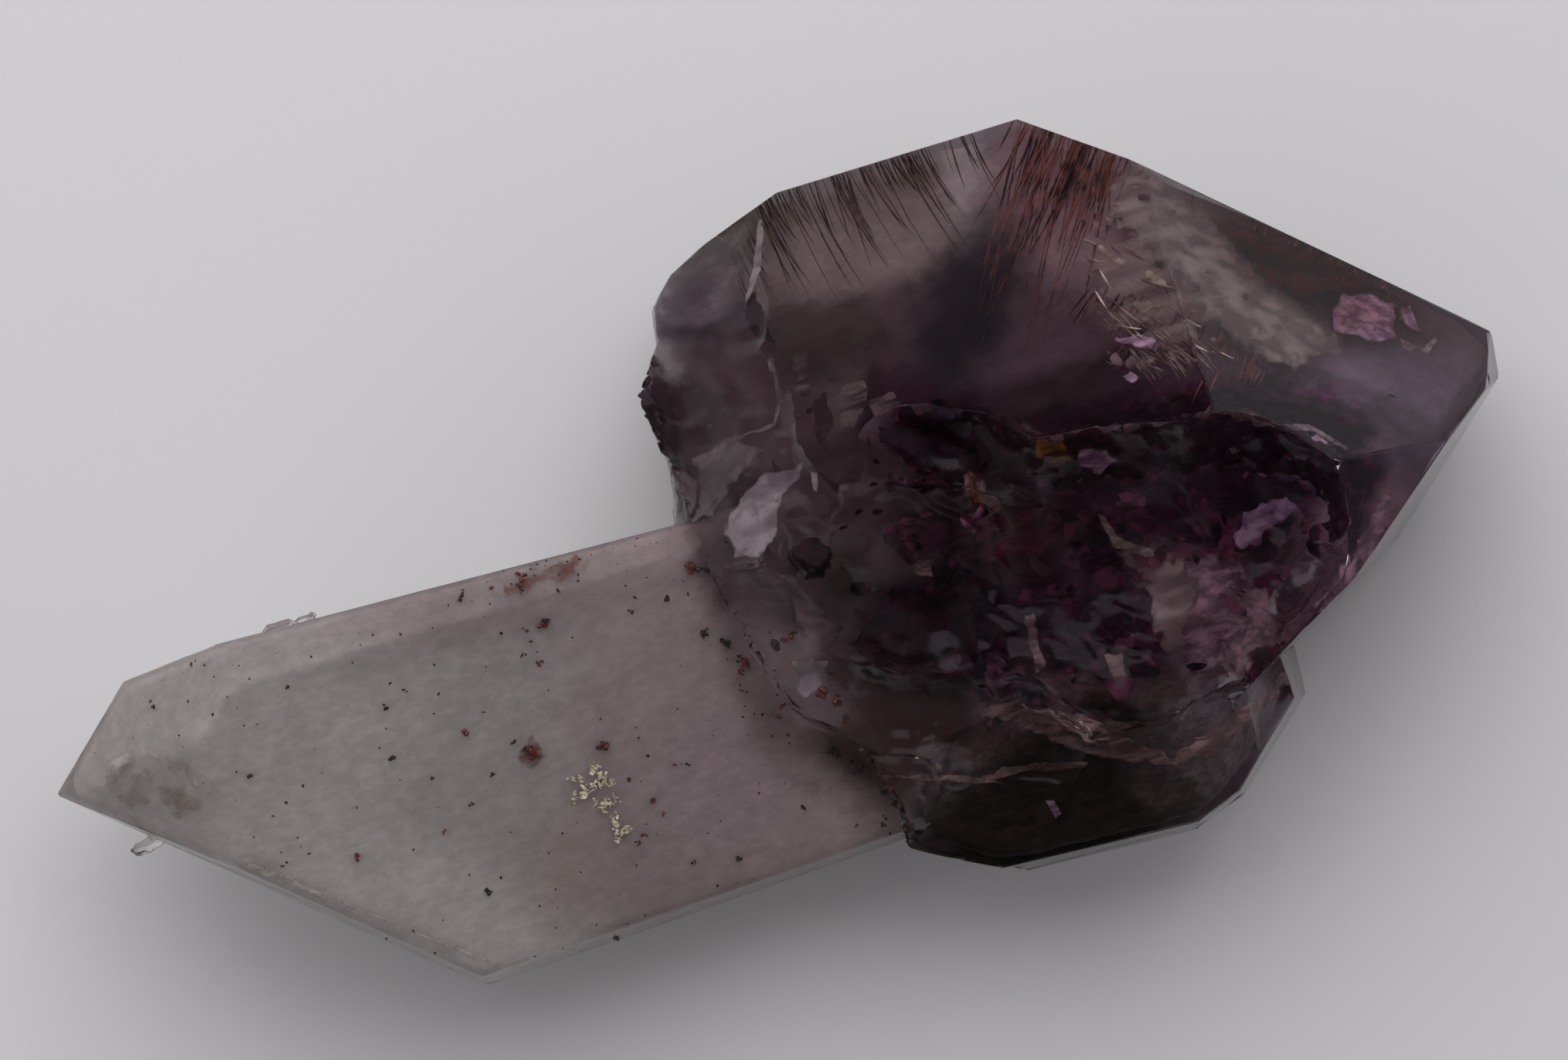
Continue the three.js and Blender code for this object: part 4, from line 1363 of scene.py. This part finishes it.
# Veils by the finish that they have, each with its outline, depth, rim, stray of the rim and cell
VEIL_SETS = (
    VeilSet(VeilFinish("band_reflection_and_ridge_veil", (0.33, 0.25, 0.25), (0.53, 0.44, 0.43), -60, 6.0, 1.3, 0.5, 0.85, 0.4), (
        # Painted reflection: a pale sheet for the sky reflected in the point's face.
        Veil("pale_band_reflection", (
            (18.4, 11.5), (20, 9.1), (20.9, 8.2), (21.6, 6.1), (22.3, 4.5), (23.9, 2.8), (24.3, 1.4),
            (21.3, 1.6), (19.6, 3.2), (18.6, 5.7), (17.4, 7.8), (16.6, 9.6), (17.2, 10.8),
        ), 0.7, 0.8, 0.5, 0.16),
        Veil("bright_ridge", (
            (14.3, -3.5), (15.8, -4.1), (15.8, -5.8), (14.7, -7.4), (13.7, -7.7), (13.7, -6.1),
            (13.9, -4.9),
        ), 0.3, 0.4, 0.3, 0.1),
    )),
    VeilSet(VeilFinish(
        "ledge_and_glint_veil", (0.38, 0.32, 0.36), (0.70, 0.62, 0.68), 50, 2.5, 0.9, 0.6, 0.95, 0.45
    ), (
        Veil("grey_ledge", (
            (0.6, 3.9), (2.5, 3.8), (1.9, 3.0), (1.2, 2.7), (0.7, 1.5), (-0.4, 0.6), (-1.3, 1.0),
            (-1.4, 2.4), (-0.5, 3.2),
        ), 0.2, 0.25, 0.2, 0.1),
        # Painted glints: two small bright sheets that stand for sparkles of light.
        Veil("painted_glint_a", ((2.2, 8.2), (2.4, 8.0), (2.2, 7.5), (2.1, 7.6)), 0.1, 0.1, 0.05, 0.06),
        Veil("painted_glint_b", ((2.5, 3.5), (2.9, 3.3), (2.6, 2.5), (2.4, 2.6)), 0.1, 0.1, 0.05, 0.06),
        Veil("facet_edge", (
            (3.5, 13.8), (3.8, 13.6), (3.1, 11.6), (2.1, 10.4), (1.9, 10.5), (2.7, 11.9),
        ), 0.1, 0.12, 0.05, 0.08),
        Veil("root_patch", (
            (-0.4, -3.6), (0.3, -3.2), (1.0, -3.9), (0.5, -5.0), (-0.3, -5.2), (-0.6, -4.5),
        ), 0.12, 0.3, 0.25, 0.1),
    )),
    VeilSet(VeilFinish(
        "shard_veil", (0.26, 0.21, 0.235), (0.46, 0.39, 0.42), 56, 3.0, 0.9, 0.45, 0.75, 0.45
    ), (
        Veil("facet_pane", (
            (-1.2, 12.0), (0.3, 13.0), (2.3, 13.9), (3.5, 13.9), (2.9, 11.8), (2.1, 10.5), (0.8, 9.7),
            (-0.5, 10.1), (-1.7, 10.5), (-1.9, 11.4),
        ), 0.2, 1.2, 0.1),
        Veil("shoulder_plate", (
            (-3.3, 5.3), (-2.1, 4.9), (-1.7, 4.3), (-2.2, 3.2), (-3.0, 2.8), (-3.7, 3.0), (-3.2, 4.0),
        ), 0.15, 0.3, 0.15, 0.1),
        Veil("shards", (
            (-1.8, 5.3), (-0.2, 5.7), (1.2, 4.8), (-0.3, 3.8), (-1.7, 2.7), (-2.5, 2.8), (-1.8, 4.0),
        ), 0.25, 0.35, 0.3, 0.1),
        Veil("fold_line", (
            (2.2, 8.2), (2.5, 8.2), (2.4, 6.5), (1.8, 5.4), (-0.3, 5.4), (-0.3, 5.6), (1.7, 5.7),
            (2.1, 6.6),
        ), 0.1, 0.12, 0.08, 0.07),
    )),
    VeilSet(VeilFinish(
        "olive_veil", (0.034, 0.022, 0.020), (0.11, 0.075, 0.068), -40, 3.0, 0.8, 0.15, 0.6
    ), (
        Veil("olive_triangle", (
            (2.9, 10.3), (6.8, 9.6), (7.5, 7.3), (6.0, 7.1), (4.4, 6.2), (2.7, 7.4), (2.4, 8.7),
        ), 0.4, 0.6, 0.3, 0.14),
    )),
    VeilSet(VeilFinish("strip_veil", (0.035, 0.003, 0.003), (0.15, 0.020, 0.024), -43, 4.0, 1.0, 0.7), (
        Veil("strip_shadow", (
            (20.3, 8.7), (21.9, 7.8), (24.7, 5.6), (27.3, 3.1), (27.9, 1.8), (27.2, 2.5), (26.0, 3.6),
            (24.2, 4.1), (23.0, 4.0), (21.8, 5.4), (21.1, 6.9),
        ), 0.4, 0.4, 0.3, 0.13),
    )),
    VeilSet(VeilFinish("dim_veil", (0.07, 0.045, 0.05), (0.36, 0.27, 0.27), 62, 5.0, 2.4, 0.1, 0.75), (
        Veil("foot_shard", (
            (2.6, -9.3), (3.6, -7.9), (4.8, -7.2), (4.3, -8.1), (4.4, -9.6), (3.6, -9.6), (2.8, -11.1),
        ), 0.25, 0.4, 0.2, 0.08),
        Veil("peak_streaks", (
            (4.3, 5.9), (5.2, 6.6), (6.0, 6.8), (5.6, 5.5), (4.7, 4.4), (4.1, 4.6),
        ), 0.12, 0.25, 0.15, 0.08),
        Veil("peak_chip", (
            (5.5, 5.5), (6.6, 5.5), (6.8, 4.9), (6.1, 4.6), (5.5, 4.7),
        ), 0.1, 0.15, 0.15, 0.08),
        Veil("shoulder_streak", ((3.1, 8.0), (3.9, 8.0), (3.6, 6.3), (2.8, 6.0)), 0.2, 0.4, 0.2, 0.08),
    )),
    VeilSet(VeilFinish("stem_stain", (0.30, 0.22, 0.17), (0.56, 0.47, 0.41), 30, 1.5, 1.2, 0.15, 0.5), (
        Veil("phantom_a", (
            (-27.5, -0.5), (-26.4, -0.8), (-26.1, -1.6), (-27.0, -1.8), (-27.5, -1.2),
        ), 0.08, 0.5, 0.5, 0.1),
        Veil("phantom_b", (
            (-25.8, -0.8), (-24.8, -0.9), (-24.3, -2.4), (-25.5, -2.5), (-26.0, -1.8),
        ), 0.08, 0.6, 0.5, 0.1),
    )),
    VeilSet(VeilFinish("rust", (0.20, 0.05, 0.03), (0.42, 0.16, 0.11), 0, 2.0, 2.4, 0.1, 0.7), (
        Veil("rust_edge", (
            (-10.6, 2.7), (-9.2, 3.0), (-7.4, 3.0), (-6.4, 2.6), (-7.6, 2.1), (-9.4, 2.0), (-10.4, 2.2),
        ), 0.06, 0.5, 0.4, 0.1),
        Veil("rust_halo", (
            (-11.9, -3.6), (-11.0, -3.3), (-10.6, -4.2), (-11.2, -4.9), (-11.9, -4.4),
        ), 0.06, 0.6, 0.4, 0.1),
    )),
    VeilSet(VeilFinish("pale_veil", (0.22, 0.15, 0.17), (0.52, 0.42, 0.45), -52, thin=0.4), (
        Veil("rim_line", (
            (18.3, -0.5), (20.2, -0.1), (21.8, -0.5), (23.1, -1.9), (22.9, -2.1), (21.7, -0.9),
            (20.2, -0.5), (18.4, -0.9),
        ), 0.15, 0.12, 0.08, 0.08),
    )),
    VeilSet(VeilFinish("phantom_and_highlight_veil", (0.60, 0.53, 0.50), (0.86, 0.81, 0.78), 20, 1.5, 1.4, 0.3, 0.85), (
        Veil("phantom_arc_a", (
            (-28.1, -0.3), (-27.5, 0.6), (-26.7, 0.8), (-26.0, 0.5), (-26.3, 0.2), (-27.0, 0.0),
            (-27.7, -0.8),
        ), 0.06, 0.25, 0.35, 0.08),
        Veil("phantom_arc_b", (
            (-26.1, 0.6), (-25.0, 0.2), (-24.3, -0.5), (-23.5, -1.9), (-23.9, -2.0), (-24.9, -0.7),
            (-25.7, -0.1),
        ), 0.06, 0.3, 0.35, 0.08),
        Veil("pale_blob", ((-26.9, 0.1), (-25.6, -0.2), (-26.0, -0.8), (-26.9, -0.7)), 0.06, 0.3, 0.3, 0.08),
        Veil("tip_haze", (
            (-29.1, -0.6), (-27.5, -1.7), (-26.4, -2.9), (-25.9, -3.8), (-27.7, -2.4), (-28.9, -1.2),
        ), 0.06, 0.4, 0.2, 0.1),
        # Partly painted highlight: the pale band along the stem's low edge, with the highlight inside it.
        Veil("low_edge_band_and_highlight", (
            (-23.6, -4.6), (-22.8, -5.0), (-18.6, -8.7), (-14.9, -11.7), (-14.6, -12.2), (-15.7, -11.5),
            (-19.6, -8.2), (-23.4, -5.2),
        ), 0.06, 0.12, 0.08, 0.1),
    )),
    VeilSet(VeilFinish("cream_and_glint_veil", (0.36, 0.27, 0.24), (0.74, 0.62, 0.56), -50, thin=0.6), (
        Veil("cream_streak_a", ((15.7, 8.7), (16.3, 8.6), (17.0, 7.5), (16.5, 7.2)), 0.5, 0.2),
        Veil("cream_streak_b", ((17.3, 7.3), (17.9, 7.1), (18.3, 6.2), (17.9, 5.9), (17.4, 6.5)), 0.5, 0.2),
        Veil("cream_streak_c", ((15.9, 6.2), (17.2, 6.0), (17.9, 5.4), (16.8, 5.3)), 0.5, 0.2),
        Veil("bright_line", (
            (12.8, -1.3), (13.2, -1.5), (13.6, -2.6), (14.8, -3.5), (14.6, -4.0), (13.1, -2.9),
        ), 0.3, 0.15, 0.1, 0.08),
        # Painted glint: a small bright sheet for a sparkle of light by the root.
        Veil("painted_root_glint", ((-0.4, -3.4), (0.4, -3.5), (0.4, -3.9), (-0.4, -4.4)), 0.2, 0.15, 0.1, 0.08),
        Veil("zigzag", (
            (26.5, 1.7), (27.2, 1.0), (27.9, 1.3), (28.1, 1.1), (27.4, 0.6), (27.0, 1.0), (26.6, 0.9),
            (26.4, 1.3),
        ), 0.3, 0.1, 0.05, 0.06),
    )),
    VeilSet(VeilFinish(
        "streak_veil", (0.30, 0.18, 0.20), (0.52, 0.40, 0.40), -52, 7.0, 1.6, 0.05, 0.4, 0.45
    ), (
        Veil("streak_field", (
            (15.0, 9.0), (16.6, 9.6), (18.0, 8.2), (19.0, 6.0), (19.2, 4.2), (17.6, 3.4), (16.2, 4.4),
            (15.4, 6.4),
        ), 0.6, 0.8, 0.6, 0.15),
    )),
    VeilSet(VeilFinish("pink_veil", (0.20, 0.10, 0.135), (0.56, 0.36, 0.43), 70, 2.5, thin=0.4), (
        Veil("hollow_veil", (
            (12.8, -1.2), (13.6, -2.6), (14.1, -3.5), (16.2, -3.8), (17.8, -5.1), (18.6, -6.6),
            (18.6, -8.2), (16.7, -9.4), (15.4, -9.4), (14.4, -9.6), (13.8, -8.4), (13.7, -6.4),
            (13.9, -5.0), (13.2, -3.4),
        ), 0.45, 0.9, 0.4),
        Veil("rim_veil", (
            (18.8, -9.4), (21.5, -7.8), (23.6, -5.6), (24.5, -3.8), (23.7, -3.9), (22.4, -5.2),
            (20.4, -7.2), (18.4, -8.4),
        ), 0.3, 0.4, 0.3, 0.12),
    )),
    VeilSet(VeilFinish("dark_veil", (0.012, 0.004, 0.009), (0.085, 0.022, 0.045), -20, thin=0.8), (
        Veil("dark_notch", (
            (2.1, 10.7), (2.6, 10.9), (2.8, 10.1), (2.7, 8.6), (2.0, 9.0), (1.8, 9.9),
        ), 0.2, 0.2, 0.15, 0.08),
        Veil("pit_a", (
            (0.9, 1.0), (2.1, 1.0), (2.5, 0.0), (1.9, -0.8), (0.9, -0.7), (0.7, 0.3),
        ), 0.15, 0.25, 0.25, 0.09),
        Veil("pit_b", ((3.4, 6.1), (4.2, 6.2), (4.0, 4.9), (3.3, 4.1), (3.0, 4.9)), 0.15, 0.2, 0.2, 0.08),
        Veil("dark_border", (
            (5.1, 3.9), (6.7, 4.9), (10.5, 3.5), (12.3, 2.1), (16.1, 1.4), (18.3, 1.1), (21.6, -0.6),
            (22.9, -2.6), (22.5, -5.2), (21.2, -5.6), (21.3, -2.9), (19.1, -1.5), (15.5, -0.8),
            (11.9, -0.1), (9.3, 1.5), (6.8, 1.9),
        ), 0.15, 0.2, 0.5, 0.11),
        Veil("dark_middle", (
            (2.6, -2.2), (4.9, -1.7), (7.2, -2.8), (7.3, -5.2), (5.7, -6.6), (2.9, -5.7), (1.8, -3.9),
        ), 0.3, 0.5, 0.6, 0.12),
    )),
    VeilSet(VeilFinish("lilac_and_flash_veil", (0.40, 0.19, 0.36), (0.98, 0.70, 0.92), 66, 4.0, 2.2, 0.7), (
        Veil("pink_streak", ((15.4, 4.9), (16.4, 4.9), (17.2, 4.3), (16.7, 3.9), (15.5, 4.3)), 0.5, 0.2),
        Veil("pink_patch", ((15.1, 3.4), (15.8, 3.6), (16.2, 2.9), (15.4, 2.9)), 0.4, 0.2),
        # Painted reflections: lilac flashes that stand for light reflected inside the crystal.
        Veil("painted_lilac_flash", (
            (23.8, 2.8), (24.1, 3.4), (24.9, 4), (26.1, 3.6), (26.9, 2.9), (26.4, 2), (26.4, 1.5),
            (25.5, 1.6), (24.2, 2.3),
        ), 0.5, 0.25, 0.15, 0.1),
        Veil("painted_small_flash", (
            (26.8, 2.8), (27.4, 2.8), (27.5, 1.6), (27.2, 1.5), (26.8, 2),
        ), 0.5, 0.15, 0.1, 0.08),
        Veil("violet_patch", (
            (12.8, 1.3), (13.9, 0.9), (14.3, 0.3), (13.4, -0.1), (12.6, 0.5),
        ), 0.07, 0.25, 0.15, 0.1),
        Veil("small_pink_spot", ((10.2, 2.3), (10.8, 2.5), (11.0, 2.0), (10.5, 1.7)), 0.3, 0.15, 0.1, 0.08),
        Veil("rose_spot", ((21.5, -1.1), (21.9, -1.0), (22.3, -1.5), (21.8, -1.7)), 0.3, 0.12, 0.08, 0.06),
        # Painted reflection: a pink flash of light reflected inside the crystal.
        Veil("painted_pink_flash", (
            (17.6, -3.9), (18.4, -3.1), (19.4, -2.9), (20.4, -2.9), (20.6, -3.7), (19.5, -4.1),
            (18.6, -4.6), (17.8, -4.6),
        ), 0.15, 0.25, 0.2, 0.1),
        # Painted glint: a small bright sheet for a sparkle on the side crystal.
        Veil("painted_side_glint", ((7.6, -11.7), (8, -11.8), (8.2, -12.5), (7.8, -12.7)), 0.25, 0.1, 0.05, 0.06),
    )),
    VeilSet(VeilFinish("amber_and_glint_veil", (0.22, 0.09, 0.03), (0.66, 0.30, 0.08), 30, thin=0.6), (
        Veil("amber_spot", (
            (11.2, 2.1), (12.4, 1.9), (12.6, 0.9), (11.8, 0.7), (11.0, 1.3),
        ), 0.07, 0.25, 0.15, 0.1),
        # Painted glint: a coppery sheet for a reddish sparkle of light.
        Veil("painted_copper_glint", (
            (8.6, 1.7), (8.9, 1.5), (8.6, 1.1), (8.9, 0.5), (8.6, 0.2), (8.2, 0.6),
        ), 0.25, 0.15, 0.15, 0.08),
    )),
    VeilSet(VeilFinish("brown_veil", (0.22, 0.12, 0.125), (0.60, 0.40, 0.40), -15, thin=0.5), (
        Veil("lip_veil", (
            (6.5, -7.3), (7.6, -7.4), (9.9, -8.8), (11.4, -10.1), (12.9, -11.4), (14.5, -11.0),
            (16.9, -10.1), (18.5, -9.6), (17.8, -10.6), (14.3, -12.1), (12.1, -11.8), (10.2, -10.9),
            (8.8, -9.9), (7.3, -8.5), (5.3, -7.4),
        ), 0.3, 0.3, 0.25, 0.12),
        Veil("brown_streaks", (
            (8.1, 1.5), (8.9, 1.5), (9.5, -0.1), (9.1, -0.6), (8.3, -0.1), (8.0, 0.8),
        ), 0.35, 0.2, 0.25, 0.1),
        Veil("pale_streaks", ((5.3, -1.0), (6.2, -1.3), (6.0, -2.1), (5.2, -1.7)), 0.3, 0.15, 0.2, 0.08),
        Veil("bowl_streak", ((8.9, -4.4), (9.4, -4.5), (9.2, -6.9), (8.6, -6.9)), 0.3, 0.15, 0.15, 0.08),
        Veil("bowl_patch", ((11.4, -6.8), (12.3, -7.0), (12.2, -8.3), (11.5, -8.2)), 0.3, 0.2, 0.15, 0.08),
        Veil("side_line", (
            (1.5, -8.7), (5.7, -10.1), (6.8, -10.0), (9.8, -10.7), (9.7, -11.1), (6.8, -10.5), (5.6, -10.5),
            (1.4, -9.0),
        ), 0.2, 0.12, 0.12, 0.08),
    )),
)


class Fibre(Enum):
    """The kinds of fibre in the crystal, each with its finish."""

    BROWN = GrainyMineral("brown_needle", (0.065, 0.040, 0.036), (0.20, 0.125, 0.105), 0.9)
    PALE = GrainyMineral("pale_fibre", (0.24, 0.14, 0.15), (0.52, 0.40, 0.39), 1.2, 0.2)
    RED = GrainyMineral("red_needle", (0.060, 0.022, 0.023), (0.42, 0.16, 0.13), 0.9)


# Sheaves of needles: kind, name, patch, direction, length, count, seed, width, fan, bunches, bend
SHEAVES = (
    (Fibre.BROWN, Sheaf(
        "curtain_needles", ((2.6, 12.9, 7.6), (12.6, 12.9, 7.6), (12.6, 13.2, 8.7), (2.6, 13.2, 8.7)),
        (0.03, -0.80, 0.56), (2.0, 7.6), 120, 11, (0.016, 0.042), 0.05, 34, (0.9, 0.0, 0.0)
    )),
    (Fibre.RED, Sheaf(
        "fan_needles", ((13.6, 12.8, 7.2), (17.8, 10.6, 7.4), (17.8, 10.4, 9.0), (13.6, 12.6, 8.8)),
        (-0.52, -0.68, 0.50), (2.4, 7.2), 72, 23, (0.018, 0.055), 0.06, 40, (-0.5, 0.2, 0.0)
    )),
    (Fibre.RED, Sheaf(
        "long_needles", ((13.8, 13.0, 8.4), (17.2, 10.8, 8.8), (17.2, 10.6, 9.4), (13.8, 12.8, 9.2)),
        (-0.40, -0.70, 0.53), (7.0, 13.0), 34, 29, (0.016, 0.040), 0.09, 26, (-0.4, 0.0, 0.0)
    )),
    (Fibre.RED, Sheaf(
        "point_needles", ((18.6, 9.2, 7.0), (26.6, 2.4, 7.4), (26.6, 2.2, 9.0), (18.6, 8.8, 9.0)),
        (-0.62, -0.66, 0.36), (1.0, 2.4), 90, 31, (0.020, 0.050), 0.06, 22
    )),
    (Fibre.RED, Sheaf(
        "inner_needles", ((15.4, 6.8, 13.2), (20.8, 1.8, 14.6), (20.8, 1.8, 15.6), (15.4, 6.8, 14.4)),
        (-0.72, -0.62, 0.46), (1.0, 3.0), 76, 37, (0.022, 0.055), 0.09, 26, (0.0, 0.0, 0.0), False
    )),
    (Fibre.PALE, Sheaf(
        "pale_fibres", ((15.2, 8.8, 12.6), (18.4, 7.6, 13.4), (18.8, 3.6, 16.2), (15.6, 3.4, 16.2)),
        (0.54, -0.70, 0.50), (0.7, 2.4), 120, 43, (0.020, 0.075), 0.22, 26, (0.0, 0.0, 0.0), False
    )),
)


def main() -> None:
    """Builds the studio and the crystal, piece by piece."""
    logging.basicConfig(level=logging.INFO, format="%(relativeCreated)d ms %(message)s")
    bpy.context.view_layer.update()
    Studio().build()
    zone_tree = zone_colour_group(ZONES)
    skin = CrystalSkin().build()
    carry(skin, ClearQuartz().build(zone_tree))
    depth = SkinDepth(skin)
    for body, finish in (
        (stem_cloud(), CloudyQuartz("milky_quartz", flecks=0.15, calm=0.15, rough=0.7)),
        (head_core(), CloudyQuartz("smoky_quartz", flecks=0.6, calm=0.15, wander=1.0)),
        (side_core(), CloudyQuartz("dark_quartz", flecks=0.5, calm=0.5)),
    ):
        carry(body.build(), finish.build(zone_tree))
    fibres = {kind: kind.value.build() for kind in Fibre}
    for kind, sheaf in SHEAVES:
        carry(sheaf.build(depth), fibres[kind])
    up = Vector((0, 0.2, 1))
    for flakes, finish in (
        (Flakes("dark_flakes", HOLLOW, 130, 71, (0.3, 1.2), (0.3, 1.0), up, 0.3),
         GrainyMineral("dark_flake", (0.014, 0.005, 0.011), (0.21, 0.065, 0.12), 0.8, 0.1)),
        (Flakes("pale_flakes", BESIDE_THE_FAN, 60, 73, (0.4, 1.5), (0.12, 0.5), up, 0.3),
         GrainyMineral("pale_flake", (0.16, 0.09, 0.10), (0.50, 0.37, 0.38), 0.9, 0.1)),
        (Flakes("grey_flakes", BESIDE_THE_PEAK, 40, 79, (0.3, 1.3), (0.1, 0.4), up, 0.3),
         GrainyMineral("grey_flake", (0.085, 0.058, 0.066), (0.22, 0.16, 0.18), 0.7, 0.1)),
    ):
        carry(flakes.build(depth), finish.build())
    for grains, finish in (
        (StemSpecks(), GrainyMineral("hematite", (0.010, 0.006, 0.006), (0.13, 0.018, 0.012), 0.8)),
        (CreamCrust(), GrainyMineral("cream_mineral", (0.42, 0.36, 0.25), (0.68, 0.62, 0.48), 3.0)),
    ):
        carry(grains.build(depth), finish.build())
    for veils in VEIL_SETS:
        veils.dress(depth)


if __name__ == "__main__":
    main()
